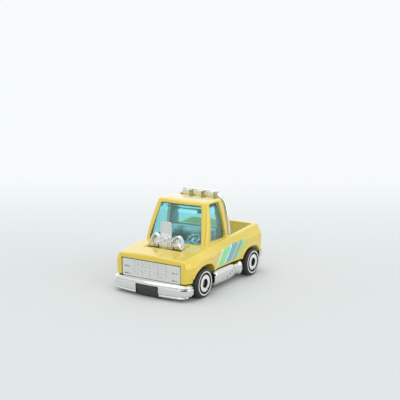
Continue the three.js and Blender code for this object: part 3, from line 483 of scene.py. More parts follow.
def end_tuck(y):
    """How far a quarter-round end draws the section in, near the nose and the tail."""
    depth = max(0.0, EDGE_RADIUS - min(y - NOSE, TAIL - y))
    return EDGE_RADIUS - math.sqrt(EDGE_RADIUS**2 - depth**2)


def stations(start, end):
    return np.linspace(start, end, math.ceil((end - start) / STATION) + 1)


def lower_body(swell):
    """The lower body with rounded ends, grown by swell."""
    ends = EDGE_RADIUS * (1 - np.cos(np.linspace(0, math.pi / 2, CORNER_STEPS + 1)[:-1]))
    middle = stations(NOSE + EDGE_RADIUS, TAIL - EDGE_RADIUS)
    places = np.concatenate([NOSE + ends, middle, TAIL - ends[::-1]])
    return loft([body_ring(y, end_tuck(y) - swell, np.interp(y, *BOTTOM)) for y in places])


def lower_cavity():
    return loft([body_ring(y, WALL, BELOW_GROUND) for y in stations(NOSE + WALL, TAIL - TAILGATE)])


def arch(centre, room, grow):
    """Wheel arch outline in (y, z): a squarish half oval, open downwards."""
    turn = np.linspace(0, math.pi, 49)
    y = centre + (WHEEL_RADIUS + room + grow) * squarish(np.cos(turn), ARCH_SQUARENESS)
    z = AXLE_Z + (WHEEL_RADIUS + ARCH_HEADROOM + grow) * squarish(np.sin(turn), ARCH_SQUARENESS)
    return np.vstack([(y[0], BELOW_GROUND), np.column_stack([y, z]), (y[-1], BELOW_GROUND)])


def arches(grow):
    places = [(FRONT_ARCH, FRONT_ARCH_ROOM), (REAR_ARCH, REAR_ARCH_ROOM)]
    return [prism(arch(centre, room, grow), 0, both(FAR)) for centre, room in places]


def arch_walls():
    """Inner walls of the wheel arches, whose outer edges stand out as lips."""
    inner = FENDER_HALF - WELL_DEPTH
    below = block(both(FAR), both(FAR), (-FAR, SILL_Z))
    between = block(both(inner), both(FAR), both(FAR))
    return less(common(joined(*arches(LIP_WIDTH)), lower_body(LIP_HEIGHT)), below, between)


# Cab

# Share of the roof's rise, and how far in the roof is drawn there
ROOF_DOME = ((0, 0), (0.35, 0.1), (0.65, 0.4), (0.85, 1.0), (0.95, 2.4), (1, 4.2))


def cab_ring(z, inset, tuck):
    """Plan of the cab at height z: rounded corners and a bowed windscreen."""
    rise = max(0.0, (z - CAB_FOOT_Z) / (ROOF_EDGE_Z - CAB_FOOT_Z))
    drawn = inset + tuck
    half = CAB_HALF + (ROOF_HALF - CAB_HALF) * rise + CAB_BARREL * 4 * rise * (1 - rise) - drawn
    front = COWL + (ROOF_FRONT - COWL) * rise + drawn
    rear = CAB_REAR + (ROOF_REAR - CAB_REAR) * rise - drawn
    tightest = 0.4
    radius = max(CAB_CORNER - inset, tightest)
    straight = half - radius
    corners = [(1, 1, rear), (-1, 1, rear), (-1, -1, front), (1, -1, front)]
    ring = []
    for quarter, (side, end, y) in enumerate(corners):
        centre_x, centre_y = side * straight, y - end * radius
        for angle in (quarter + np.linspace(0, 1, 9)) * math.pi / 2:
            ring.append((centre_x + radius * math.cos(angle), centre_y + radius * math.sin(angle), z))
        if (side, end) == (-1, -1):
            for share in np.linspace(-1, 1, 17)[1:-1]:
                ring.append((share * straight, front - WINDSCREEN_BOW * (1 - share**2), z))
    return np.array(ring)


def cab(inset, bottom):
    """The cab drawn in by inset, from bottom up to its crowned roof."""
    least_step = 0.2
    walls = [bottom, *np.linspace(CAB_FOOT_Z, ROOF_EDGE_Z, 13)[:-1]]
    rings = [cab_ring(z, inset, 0) for z in walls if z < ROOF_EDGE_Z - inset - least_step]
    for share, tuck in eased(ROOF_DOME, 2):
        ring = cab_ring(ROOF_EDGE_Z, inset, tuck)
        ring[:, 2] = ROOF_EDGE_Z + share * ROOF_RISE - inset
        rings.append(ring)
    return loft(rings)


def window_cuts(inset):
    """Window openings drawn in by inset: windscreen, rear, left and right."""
    ends = []
    for (foot_half, foot_z), (head_half, head_z) in (WINDSCREEN, REAR_WINDOW):
        half = [(foot_half - inset, foot_z + inset), (head_half - inset, head_z - inset)]
        ends.append(rounded(mirrored(half), WINDOW_CORNER))
    foot_z, head_z = SIDE_WINDOW_Z
    side = [
        (SIDE_WINDOW_FOOT[0] + inset, foot_z + inset),
        (SIDE_WINDOW_FOOT[1] - inset, foot_z + inset),
        (SIDE_WINDOW_HEAD[1] - inset, head_z - inset),
        (SIDE_WINDOW_HEAD[0] + inset, head_z - inset),
    ]
    middle, clear_of_middle = (ROOF_FRONT + ROOF_REAR) / 2, 1.35
    reach = (ROOF_HALF - 2 * WALL + inset, CAB_HALF + WALL)
    return [
        prism(ends[0], 1, (NOSE, middle - clear_of_middle)),
        prism(ends[1], 1, (middle + clear_of_middle, TAIL)),
        prism(rounded(side, WINDOW_CORNER), 0, reach),
        prism(rounded(side, WINDOW_CORNER), 0, (-reach[1], -reach[0])),
    ]


# Shell casting and the moulding behind its windows


def posts():
    """Cast posts, narrower where they pass the base and peened over under it."""
    radius, neck, head, head_height = 1.7, 1.1, 1.9, 0.4
    made = []
    for y, top in [(NOSE + 4, 13.0), (REAR_AXLE - 5.9, BED_FLOOR_Z - WALL / 2)]:
        made.append(rod(radius, 2, (0, y), (BASE_SEAT_Z, top)))
        made.append(rod(neck, 2, (0, y), (BASE_Z + head_height / 2, top)))
        made.append(rod(head, 2, (0, y), (BASE_Z, BASE_Z + head_height)))
    return made


def tail_lamps():
    lamp_x, half = TAIL_PANEL_HALF + 2.6, 1.2
    height = (TAIL_BOTTOM_Z + 2, TAIL_CREASE_Z - 0.8)
    lamps = []
    for x in both(lamp_x):
        outline = rectangle((x - half, x + half), height, WINDOW_CORNER / 2)
        lamps.append(prism(outline, 1, (TAIL - WALL, TAIL + TAIL_LAMP_PROUD)))
    return lamps


def hood_recess():
    """Shallow sunk panel around the engine."""
    outline = rectangle(both(HOOD_RECESS_HALF), HOOD_RECESS, SMALL_CORNER)
    return less(prism(outline, 2, (SILL_Z, FAR)), lower_body(-HOOD_RECESS_DEPTH))


def body_shell():
    """Zinc casting: hollow lower body and cab with their openings, the bed, tail lamps and posts."""
    under_bed = block(both(FAR), (CAB_REAR - WALL, FAR), (BED_FLOOR_Z - WALL, FAR))
    hollow = joined(less(lower_cavity(), under_bed), cab(WALL, BED_FLOOR_Z - WALL))
    walled = joined(less(joined(lower_body(0), cab(0, SILL_Z)), hollow), arch_walls())
    bed = rectangle(both(BED_HALF), (CAB_REAR, TAIL - TAILGATE), WINDOW_CORNER)
    hood_hole = rectangle(both(HOOD_HOLE_HALF), HOOD_HOLE, WINDOW_CORNER)
    panel_height = (TAIL_BOTTOM_Z + 2, RAIL_Z - 2)
    tail_panel = rectangle(both(TAIL_PANEL_HALF), panel_height, WINDOW_CORNER)
    nose_half = GRILLE_HALF + SEAT_GAP
    nose_depth = (-FAR, NOSE + GRILLE_THICKNESS + WALL)
    nose_height = (BELOW_GROUND, GRILLE_TOP_Z + SEAT_GAP)
    shell = less(
        walled,
        prism(bed, 2, (BED_FLOOR_Z, FAR)),
        *window_cuts(0),
        *arches(0),
        hood_recess(),
        prism(hood_hole, 2, (SILL_Z, BLOWER_TOP_Z)),
        block(both(nose_half), nose_depth, nose_height),
        prism(tail_panel, 1, (TAIL - TAIL_PANEL_DEPTH, FAR)),
    )
    return softened(joined(shell, *tail_lamps(), *posts()), grain=0.13, rounds=2, keep=0.3)


def window_moulding():
    """One clear hood inside the cab, whose panes stand out into the window openings."""
    fit = 0.05
    windscreen, rear, left, right = window_cuts(fit)
    panes = common(joined(windscreen, rear), cab(PANE_SET_BACK, GLASS_BOTTOM_Z))
    side_panes = common(joined(left, right), cab(SIDE_PANE_SET_BACK, GLASS_BOTTOM_Z))
    outside = joined(cab(WALL + SEAT_GAP, GLASS_BOTTOM_Z), panes, side_panes)
    return creased(less(outside, cab(WALL + SEAT_GAP + GLASS, GLASS_BOTTOM_Z - WALL)), degrees=25)


# Plated mouldings


def engine():
    """Block on a stem that stands behind the axle, with two banks, a blower and a scoop."""
    width = both(BLOCK_HALF)
    stem = block(width, (FRONT_AXLE + 1.2, ENGINE_REAR), (BASE_SEAT_Z, BLOCK_TOP_Z))
    main = block(width, (BANK_FRONT, ENGINE_REAR), (AXLE_Z + 2.1, BLOCK_TOP_Z))
    parts = [stem, *blower(), scoop()]
    for side in (-1, 1):
        parts += [*bank(side), *headers(side)]
    form = less(joined(main, *parts), *blower_pits(), *bank_grooves())
    return softened(form, grain=0.08, rounds=2, keep=0.4)


def bank(side):
    """Cylinder bank with a sloping cover, and the inlet manifold behind it."""
    cover_half, manifold_half = 6.7, 6.3
    cover = [
        (0, BANK_FOOT_Z),
        (cover_half, BANK_FOOT_Z),
        (cover_half, BLOCK_TOP_Z - 0.4),
        (BLOCK_HALF, BLOCK_TOP_Z + 1.3),
    ]
    manifold = [
        (1, BANK_FOOT_Z),
        (manifold_half, BANK_FOOT_Z),
        (manifold_half, BLOCK_TOP_Z + 1),
        (4.6, BLOCK_TOP_Z + 2.8),
        (1, BLOCK_TOP_Z + 2.2),
    ]
    cover_depth, manifold_depth = (BANK_FRONT, ENGINE_REAR), (BANK_FRONT + 0.95, ENGINE_REAR - 0.3)
    made = []
    for outline, depth in ((cover, cover_depth), (manifold, manifold_depth)):
        sided = [(side * x, z) for x, z in outline]
        made.append(prism(rounded(sided, SMALL_CORNER), 1, depth))
    return made


def headers(side):
    """Exhaust pipes that leave the bank upwards and bend out and down beside it."""
    count, radius, start_z, pull_z = 2, 0.38, 16.8, 21.4
    outer = HOOD_HOLE_HALF - radius - SEAT_GAP
    pitch = (ENGINE_REAR - BANK_FRONT) / count
    pulls = [
        (BLOWER_HALF - radius, start_z),
        (BLOCK_HALF, pull_z),
        (outer, pull_z),
        (outer, BANK_FOOT_Z + radius),
    ]
    made = []
    for i in range(count):
        path = []
        for t in np.linspace(0, 1, 25):
            weights = [(1 - t) ** 3, 3 * t * (1 - t) ** 2, 3 * t**2 * (1 - t), t**3]
            x, z = np.dot(weights, pulls)
            path.append((side * x, BANK_FRONT + pitch * (i + 0.5), z))
        made.append(tube(path, radius))
    return made


def blower():
    """Housing that narrows upwards, with its belt in front."""
    foot_half, foot_z = BLOWER_FOOT
    belt_half, belt_proud, corner = 1.2, 0.4, 0.9
    housing = [
        (-foot_half, foot_z),
        (foot_half, foot_z),
        (BLOWER_HALF, BLOWER_TOP_Z),
        (-BLOWER_HALF, BLOWER_TOP_Z),
    ]
    belt = rectangle(both(belt_half), (foot_z, BLOWER_TOP_Z - 0.6), belt_half)
    return [
        prism(rounded(housing, corner), 1, (ENGINE_FRONT + belt_proud, ENGINE_REAR)),
        prism(belt, 1, (ENGINE_FRONT, ENGINE_REAR)),
    ]


def blower_pits():
    """Screw pits beside the belt, and the bores of its two pulleys."""
    pit, pit_depth, bore, bore_depth = 0.26, 1.0, 0.4, 0.7
    places = [(x, z) for x in (-1.75, 1.75) for z in (17.2, 18.7)]
    pits = [rod(pit, 1, place, (NOSE, ENGINE_FRONT + pit_depth)) for place in places]
    return pits + [rod(bore, 1, (0, z), (NOSE, ENGINE_FRONT + bore_depth)) for z in (15.6, 18.2)]


def bank_grooves():
    """Deep grooves beside the blower and shallow ones between the cylinders of a bank."""
    cuts = []
    for side in (-1, 1):
        for x, width, depth, top in ((3.05, 0.4, 1.1, 18.6), (4.8, 0.25, 0.35, 17.2)):
            across = sorted((side * x, side * (x + width)))
            cuts.append(block(across, (NOSE, BANK_FRONT + depth), (BANK_FOOT_Z + 1.6, top)))
    return cuts


def scoop():
    """Tall air scoop with rounded upper corners and a shallow mouth."""
    front, length, rim, corner, mouth_depth = FRONT_AXLE + 1.15, 1.7, 0.45, 1.35, 0.35
    foot = BLOWER_TOP_Z - 0.9
    profile = [
        (front, foot),
        (front + length, foot),
        (front + length, SCOOP_TOP_Z - length),
        (front + rim, SCOOP_TOP_Z),
        (front, SCOOP_TOP_Z),
    ]
    outline = rectangle(both(SCOOP_HALF), (foot, SCOOP_TOP_Z), corner)
    mouth = rectangle(both(SCOOP_HALF - rim), (BLOWER_TOP_Z + rim, SCOOP_TOP_Z - rim), corner - rim)
    swept = prism(rounded(profile, rim / 2), 0, both(SCOOP_HALF))
    form = common(swept, prism(outline, 1, (NOSE, CAB_REAR)))
    return less(form, prism(mouth, 1, (NOSE, front + mouth_depth)))


def roll_bar():
    """Hoop behind the cab, with three lamps standing forward from a bar along its top."""
    y = CAB_REAR + 0.95
    foot, radius, half = BED_FLOOR_Z + SEAT_GAP, 0.75, 12.2
    pitch, lamp_half, lamp_reach, lamp_corner = 5.2, 1.35, 1.4, 0.4
    leg = [(half, foot), (half, (foot + RAIL_Z) / 2), (12.05, RAIL_Z), (11.4, 23.5), (10.6, 27.5)]
    shoulder = [(9.7, 29.8), (8.4, 31.2), (6.6, 32.0), (pitch / 2, 32.3)]
    path = curve_through(mirrored([*leg, *shoulder]), 8)
    parts = [tube(np.insert(path, 1, y, axis=1), radius)]
    pad, pad_height = radius + 0.2, 0.7
    parts += [rod(pad, 2, (x, y), (foot, foot + pad_height)) for x in both(half)]
    bar_half, bar_z, bar_height, bar_depth = 7.7, 30.3, 3.1, (y - 0.8, y + 0.4)
    lamp_z = (bar_z + 0.2, bar_z + 2.7)
    bar = rectangle(both(bar_half), (bar_z, bar_z + bar_height), SMALL_CORNER)
    parts.append(prism(bar, 1, bar_depth))
    for x in (-pitch, 0, pitch):
        lamp = rectangle((x - lamp_half, x + lamp_half), lamp_z, lamp_corner)
        parts.append(prism(lamp, 1, (bar_depth[0] - lamp_reach, bar_depth[1])))
    return softened(joined(*parts), grain=0.08, rounds=2, keep=0.4)


def grille_panel():
    """Grid of cells between two stacks of lamps, each lamp marked by a slit."""
    face = NOSE + GRILLE_SET_BACK
    bar, columns, rows, lamp = 0.35, 9, 4, 4.4
    cell_depth, slit_depth, slit_half, slit_height = 0.45, 0.9, 1.35, 0.45
    bottom = NOSE_BOTTOM_Z - GRILLE_LAP
    cell_cut, slit_cut = (face - 1, face + cell_depth), (face - 1, face + slit_depth)
    half = GRILLE_HALF - lamp - bar
    column_pitch = 2 * half / columns
    row_pitch = (GRILLE_TOP_Z - NOSE_BOTTOM_Z - 3 * bar) / rows
    cuts = []
    for column in range(columns):
        for row in range(rows):
            x = -half + column_pitch * column
            z = NOSE_BOTTOM_Z + 1.5 * bar + row_pitch * row + (bar if row >= rows / 2 else 0)
            width, height = (x + bar / 2, x + column_pitch - bar / 2), (z, z + row_pitch - bar)
            cuts.append(block(width, cell_cut, height))
    for side in (-1, 1):
        x = side * (GRILLE_HALF - lamp / 2)
        for z in (NOSE_BOTTOM_Z + bar, (NOSE_BOTTOM_Z + GRILLE_TOP_Z) / 2):
            cuts.append(block((x - slit_half, x + slit_half), slit_cut, (z, z + slit_height)))
    outline = rectangle(both(GRILLE_HALF), (bottom, GRILLE_TOP_Z), SMALL_CORNER)
    panel = less(prism(outline, 1, (face, face + GRILLE_THICKNESS)), *cuts)
    return softened(panel, grain=0.08, rounds=3, keep=0.35)


def bumper_plan(half, face, back, corner, inset):
    """Bumper seen from above, drawn in by inset: sides, rounded corners and bowed face."""
    ahead = math.copysign(1, back - face)
    face = face + ahead * inset
    side = half - inset
    flatness = 0.8  # depth of a corner for its width
    turn = np.linspace(0, math.pi / 2, 13)
    depth = np.minimum(corner * flatness * (1 - np.sin(turn)) + BUMPER_BOW, abs(back - face))
    bend = np.column_stack([side - corner * (1 - np.cos(turn)), face + ahead * depth])
    share = np.linspace(1, 0, 13)[1:]
    bow = np.column_stack([(side - corner) * share, face + ahead * BUMPER_BOW * share**2])
    line = np.vstack([[(side, back)], bend, bow])
    return np.vstack([line, line[-2::-1] * (-1, 1)])


def bumper_skin(half, face, back, corner, low, high, levels, rounds):
    """Plans at rising heights; a level is a share of the height and how far in the plan is drawn."""
    rings = []
    for share, inset in eased(levels, rounds):
        plan = bumper_plan(half, face, back, corner, inset)
        rings.append(np.insert(plan, 2, low + share * (high - low), axis=1))
    return loft(rings)


def tab_outline(grow):
    """Front tab of the base, grown for the notch that it fills."""
    low, high, foot_half, half = 0.2, 4.4, 4.9, 4.5
    side = [(foot_half + grow, low - grow), (half + grow, (low + high) / 2), (half + grow, high + grow)]
    return rounded(mirrored(side), TAB_CORNER)


def front_bumper():
    """Bumper with a groove along its lower and upper edge and a notch for the base's tab."""
    roof, end_rise = 1.0, 1.6
    lower_groove = [(0, 0.4), (0.1, 0.2), (0.14, 0.4), (0.18, 0.4), (0.22, 0.05)]
    upper_groove = [(0.74, 0), (0.76, 0.4), (0.82, 0.4), (0.84, 0.02)]
    levels = [*lower_groove, *upper_groove, (0.87, 0.06), (0.99, 0.8), (1, 1)]
    plan = (BUMPER_HALF, BUMPER_FACE, BUMPER_BACK, BUMPER_CORNER)
    form = bumper_skin(*plan, BUMPER_BOTTOM_Z, BUMPER_TOP_Z, levels, rounds=1)
    inside = bumper_plan(BUMPER_HALF, BUMPER_FACE, BUMPER_BACK + WALL, BUMPER_CORNER, BUMPER_WALL)
    inner_half = BUMPER_HALF - BUMPER_WALL
    behind = (NOSE + GRILLE_SET_BACK + GRILLE_THICKNESS, FAR)
    underside = [
        (BUMPER_FACE, BELOW_GROUND),
        (BUMPER_BACK, BELOW_GROUND),
        (BUMPER_BACK, BUMPER_BOTTOM_Z + end_rise),
        (BUMPER_FACE + BUMPER_WALL, BUMPER_BOTTOM_Z),
        (BUMPER_FACE, BUMPER_BOTTOM_Z),
    ]
    cut = less(
        form,
        prism(inside, 2, (BELOW_GROUND, BUMPER_TOP_Z - roof)),
        block(both(inner_half), behind, (0, FAR)),
        prism(tab_outline(SEAT_GAP), 1, (-FAR, NOSE)),
        prism(underside, 0, both(FAR)),
    )
    return softened(cut, grain=0.1, rounds=2, keep=0.4)


def rear_bumper():
    """Bar across the tail, whose ends reach forward under it."""
    levels = [(0, 0.9), (0.15, 0.2), (0.35, 0), (0.75, 0), (0.92, 0.25), (1, 0.8)]
    low, high = span("rear_bumper")
    half, corner, seat = high[0], 1.0, TAIL + SEAT_GAP
    form = bumper_skin(half, high[1], low[1], corner, low[2], high[2], levels, rounds=2)
    between = block(both(half - BUMPER_WALL), (-FAR, seat), both(FAR))
    under_tail = block(both(FAR), (-FAR, seat), (TAIL_BOTTOM_Z - SEAT_GAP, FAR))
    return softened(less(form, between, under_tail), grain=0.1, rounds=3, keep=0.4)


def side_pipe(side):
    """Side exhaust: a tall oval heat shield, a slimmer stretch and a turned-out tip."""
    low, high = span("side_pipe_left")
    set_back = 1.0  # leaves the base in view behind the front wheel
    front, rear = low[1] + set_back, high[1]
    tip = rear - 1.8
    shield_end = tip - 4
    sections = [
        (front, 0.72),
        (front + 0.5, 0.94),
        (front + 1.4, 1),
        (shield_end - 0.6, 1),
        (shield_end, 0.82),
        (tip - 0.4, 0.8),
        (tip, 0.98),
        (rear - 0.7, 0.98),
        (rear - 0.2, 0.86),
        (rear, 0.66),
    ]
    half_width, half_height, z, squareness = 2.35, 2.9, 4.6, 2.65
    centre = side * (BASE_HALF + SEAT_GAP + half_width)
    turn = np.linspace(0, 2 * math.pi, 48, endpoint=False)
    oval = [squarish(wave, squareness) for wave in (np.cos(turn), np.sin(turn))]
    rings = []
    for y, share in eased(sections, 2):
        x, up = centre + half_width * share * oval[0], z + half_height * share * oval[1]
        rings.append(np.column_stack([x, np.full_like(x, y), up]))
    hole, pitch, drop = 0.36, 1.6, 0.75
    ends = sorted([centre, side * FAR])
    places = [(shield_end - pitch * (i + 0.5), z + drop * (1.5 - i)) for i in range(4)]
    holes = [rod(hole, 0, place, ends) for place in places]
    return softened(less(loft(rings), *holes), grain=0.09, rounds=3, keep=0.35)


# Wheels

PRINT_PLACE = "print_place"  # where each point of a wheel was when its face was stamped, in metres


def wheel(side, turn):
    """One-piece wheel about its own centre, outer face towards its side, rolled on by turn."""
    bore, boss_end = 0.75 / WHEEL_RADIUS, 12.2
    # Shares of the radius, with heights over the inner rim and depths under the outer face
    back = [(0.34, 1.2), (0.78, 1.2), (0.82, 0), (0.93, 0), (0.985, 0.12), (1.0, 0.5)]
    tread_edge = [(1.0, 0.95), (0.99, 0.6), (0.965, 0.32), (0.92, 0.12), (0.86, 0.02), (0.82, 0)]
    groove = [(0.715, 0), (0.705, 0.03), (0.7, 0.25), (0.6, 0.25), (0.592, 0.03), (0.582, 0)]
    hub = [(0.315, 0), (0.303, 0.05), (0.29, 1.6), (bore, 1.6)]
    profile = [(bore, boss_end), (0.3, boss_end)]
    profile += [(share, WHEEL_INNER + height) for share, height in back]
    profile += [(share, WHEEL_FACE - depth) for share, depth in [*tread_edge, *groove, *hub]]
    line = [(share * WHEEL_RADIUS, side * x) for share, x in profile]
    made = creased(turned(line, sides=96), degrees=35)
    points = np.empty(3 * len(made.data.vertices))
    made.data.vertices.foreach_get("co", points)
    stored = made.data.attributes.new(PRINT_PLACE, "FLOAT_VECTOR", "POINT")
    stored.data.foreach_set("vector", points * MM)
    made.data.transform(Matrix.Rotation(-turn, 4, "X"))
    return made


# Materials

MIX_FROM, MIX_TO, MIX_OUT = 6, 7, 2  # the colour sockets of a mix node


def colour(hex_value):
    """sRGB hex to linear."""
    parts = [int(hex_value[i : i + 2], 16) / 255 for i in (1, 3, 5)]
    return (*[c / 12.92 if c <= 0.04045 else ((c + 0.055) / 1.055) ** 2.4 for c in parts], 1)


def add(tree, kind, inputs=(), **settings):
    """Adds a shader node with its settings, and sets or links its inputs."""
    made = tree.nodes.new(kind)
    for name, value in settings.items():
        setattr(made, name, value)
    for socket, value in dict(inputs).items():
        if isinstance(value, bpy.types.NodeSocket):
            tree.links.new(value, made.inputs[socket])
        else:
            made.inputs[socket].default_value = value
    return made


def new_material(name, looks):
    """Material with these looks: its tree, its shader and the piece's own coordinates in metres."""
    material = bpy.data.materials.new(name)
    material.use_nodes = True
    tree = material.node_tree
    shader = tree.nodes["Principled BSDF"]
    for socket, value in looks.items():
        shader.inputs[socket].default_value = value
    place = add(tree, "ShaderNodeTexCoord").outputs["Object"]
    return material, tree, shader, place


def vary(tree, shader, place, grain, detail, tones=None, gloss=None, relief=None):
    """Lets noise of that grain drive colour between two tones, roughness between two values, or relief.

    The grain is in millimetres. Relief is given as a strength and a depth in millimetres.
    """
    noise = {"Vector": place, "Scale": 1 / (grain * MM), "Detail": detail}
    pattern = add(tree, "ShaderNodeTexNoise", noise).outputs["Fac"]
    if tones:
        low, high = [colour(tone) for tone in tones]
        tone = add(tree, "ShaderNodeMix", {0: pattern, MIX_FROM: low, MIX_TO: high}, data_type="RGBA")
        tree.links.new(tone.outputs[MIX_OUT], shader.inputs["Base Color"])
    if gloss:
        low, high = gloss
        rough = add(tree, "ShaderNodeMapRange", {"Value": pattern, "To Min": low, "To Max": high})
        tree.links.new(rough.outputs["Result"], shader.inputs["Roughness"])
    if relief:
        strength, depth = relief
        raised = {"Height": pattern, "Strength": strength, "Distance": depth * MM}
        bump = add(tree, "ShaderNodeBump", raised)
        tree.links.new(bump.outputs["Normal"], shader.inputs["Normal"])


def lay_over(tree, shader, share, tone):
    """Covers a share of the colour that the shader has so far."""
    under = shader.inputs["Base Color"].links[0].from_socket
    over = add(tree, "ShaderNodeMix", {0: share, MIX_FROM: under, MIX_TO: tone}, data_type="RGBA")
    tree.links.new(over.outputs[MIX_OUT], shader.inputs["Base Color"])


def where(tree, share, tests):
    """The share where each value passes its test against an edge, and nothing elsewhere."""
    for value, edge, test in tests:
        passed = add(tree, "ShaderNodeMath", {0: value, 1: edge}, operation=test).outputs[0]
        share = add(tree, "ShaderNodeMath", {0: passed, 1: share}, operation="MULTIPLY").outputs[0]
    return share


def fill_bands(ramp, bands):
    """Sets a colour ramp to flat bands: where each starts, its tone and whether it is inked."""
    ramp.interpolation = "CONSTANT"
    while len(ramp.elements) < len(bands):
        ramp.elements.new(1)
    for stop, (start, tone, ink) in zip(ramp.elements, bands):
        stop.position = start
        stop.color = (*colour(tone)[:3], ink)


PRINT_LEAN = 0.75  # how far back a bar runs for its height
PRINT_ENDS = (-13.9, 4.0)  # front and rear of the bars, where their lines meet the ground
PRINT_FOOT_Z = 8.6
PRINT_TOP_Z = 14.5  # above the truck's middle
PRINT_TOP_SLOPE = 0.08
PRINT_INNER = 14.4  # the flanks lie outside this
CREAM, GREEN, BLUE = "#F4F3EC", "#86E693", "#57B3CB"
PRINT_BANDS = [  # from the front backwards, as shares of the whole
    (0.0, CREAM, 0),
    (0.01, CREAM, 1),
    (0.06, GREEN, 1),
    (0.34, CREAM, 1),
    (0.38, BLUE, 1),
    (0.6, CREAM, 0),
    (0.66, BLUE, 1),
    (0.76, CREAM, 0),
    (0.82, GREEN, 1),
    (0.9, CREAM, 0),
]


def printed_bars(tree, out, y, z):
    """Slanted bars along the flanks: where they are inked, and their colour."""
    lean = add(tree, "ShaderNodeMath", {0: z, 1: -PRINT_LEAN, 2: y}, operation="MULTIPLY_ADD").outputs[0]
    front, rear = [end * MM for end in PRINT_ENDS]
    across = add(tree, "ShaderNodeMapRange", {"Value": lean, "From Min": front, "From Max": rear})
    bars = add(tree, "ShaderNodeValToRGB", {"Fac": across.outputs["Result"]})
    fill_bands(bars.color_ramp, PRINT_BANDS)
    rising = {0: y, 1: PRINT_TOP_SLOPE, 2: PRINT_TOP_Z * MM}
    top = add(tree, "ShaderNodeMath", rising, operation="MULTIPLY_ADD").outputs[0]
    flank = [
        (out, PRINT_INNER * MM, "GREATER_THAN"),
        (z, PRINT_FOOT_Z * MM, "GREATER_THAN"),
        (z, top, "LESS_THAN"),
    ]
    return where(tree, bars.outputs["Alpha"], flank), bars.outputs["Color"]


def bare_zinc_and_painted_light(tree, out, y, z):
    """Where the enamel gets another tone: tests, the tone and its share. The post ends show bare zinc;
    the cab's inside gets painted light and the bed's inside painted shade.
    """
    wall_lean, screen_lean = -0.16, 0.34  # of the cab's walls and its windscreen, for their height
    wall_foot, cab_floor_z = 15.0, 15.9  # half width where the walls' lines meet the ground; height
    lines = {0: z, 1: wall_lean, 2: wall_foot * MM}, {0: z, 1: -screen_lean, 2: y}
    wall, screen = [
        add(tree, "ShaderNodeMath", line, operation="MULTIPLY_ADD").outputs[0] for line in lines
    ]
    # Painted light: inside the cab the bare zinc is drawn near white, far paler than the zinc on the post
    # ends, so that the cab looks lit though little light gets in through the tinted windows.
    cab_inside = [
        (out, wall, "LESS_THAN"),
        (z, cab_floor_z * MM, "GREATER_THAN"),
        (z, (ROOF_EDGE_Z - 0.6) * MM, "LESS_THAN"),
        (y, (CAB_REAR - 1.6) * MM, "LESS_THAN"),
        (screen, (COWL - 4) * MM, "GREATER_THAN"),
    ]
    # Painted shade: the bed's inside is mixed part way towards a pale green, so that its shaded inside
    # looks olive rather than orange.
    bed_inside = [
        (out, (BED_HALF + 0.2) * MM, "LESS_THAN"),
        (z, (RAIL_Z - 0.3) * MM, "LESS_THAN"),
        (y, (CAB_REAR - 0.2) * MM, "GREATER_THAN"),
        (y, (TAIL - TAILGATE + 0.2) * MM, "LESS_THAN"),
    ]
    post_ends = [(z, (BASE_Z + 0.7) * MM, "LESS_THAN")]
    # Tones: near white in the cab is painted light, pale green in the bed is painted shade, grey on the
    # post ends is bare zinc.
    return [(cab_inside, "#EEF3F5", 1), (bed_inside, "#DCE8AC", 0.42), (post_ends, "#B4B7B8", 1)]


def enamel():
    """Stove enamel sprayed on a zinc casting: a wet gloss with faint orange peel.

    The flanks carry printed bars and the peened post ends show bare zinc. Inside the cab bare zinc is
    drawn near white as painted light, and a pale green tone over the bed's enamel is painted shade.
    """
    looks = {"IOR": 1.52, "Coat Weight": 1, "Coat Roughness": 0.05, "Coat IOR": 1.6}
    material, tree, shader, place = new_material("stove enamel, sprayed", looks)
    vary(tree, shader, place, grain=9, detail=2.0, tones=("#E5C72E", "#E8CD3C"), gloss=(0.28, 0.36))
    vary(tree, shader, place, grain=1.1, detail=1.0, relief=(0.12, 0.02))
    parts = add(tree, "ShaderNodeSeparateXYZ", {"Vector": place})
    x, y, z = [parts.outputs[axis] for axis in "XYZ"]
    out = add(tree, "ShaderNodeMath", {0: x}, operation="ABSOLUTE").outputs[0]
    inked, bars = printed_bars(tree, out, y, z)
    lay_over(tree, shader, inked, bars)
    # Each tone is laid over the enamel: bare zinc on the post ends, painted light in the cab, painted
    # shade in the bed.
    for tests, zinc, tone_share in bare_zinc_and_painted_light(tree, out, y, z):
        lay_over(tree, shader, where(tree, tone_share, tests), colour(zinc))
    return material


def tinted_polystyrene():
    """Clear polystyrene with a blue-green dye: glossy, with a slight swim, deeper at its edges."""
    looks = {"Transmission Weight": 0.94, "Roughness": 0.03, "IOR": 1.59}
    material, tree, shader, place = new_material("tinted polystyrene, moulded", looks)
    vary(tree, shader, place, grain=7, detail=1.0, tones=("#E8FCFE", "#F0FEFF"), relief=(0.08, 0.05))
    dye = add(tree, "ShaderNodeVolumeAbsorption", {"Color": colour("#38F4FC"), "Density": 0.28 / MM})
    tree.links.new(dye.outputs["Volume"], tree.nodes["Material Output"].inputs["Volume"])
    return material


def plated_abs(name, haziest):
    """ABS with vacuum plating under lacquer: a bright, slightly wavy mirror with hazy patches."""
    material, tree, shader, place = new_material(name, {"Metallic": 1})
    gloss = (haziest / 3, haziest)
    vary(tree, shader, place, grain=2.4, detail=3.0, tones=("#DEDFDC", "#E8E9E6"), gloss=gloss)
    vary(tree, shader, place, grain=1.0, detail=2.0, relief=(0.5, 0.03))
    return material


def black_abs():
    """Black ABS from a spark-textured mould: satin, with a fine even grain.

    The real grain is about 0.05 mm and is drawn at 0.25 mm so that it shows.
    """
    looks = {"Roughness": 0.48, "IOR": 1.54}
    material, tree, shader, place = new_material("black ABS, spark-textured", looks)
    vary(tree, shader, place, grain=0.25, detail=2.0, tones=("#303133", "#3A3B3E"), relief=(0.3, 0.02))
    return material


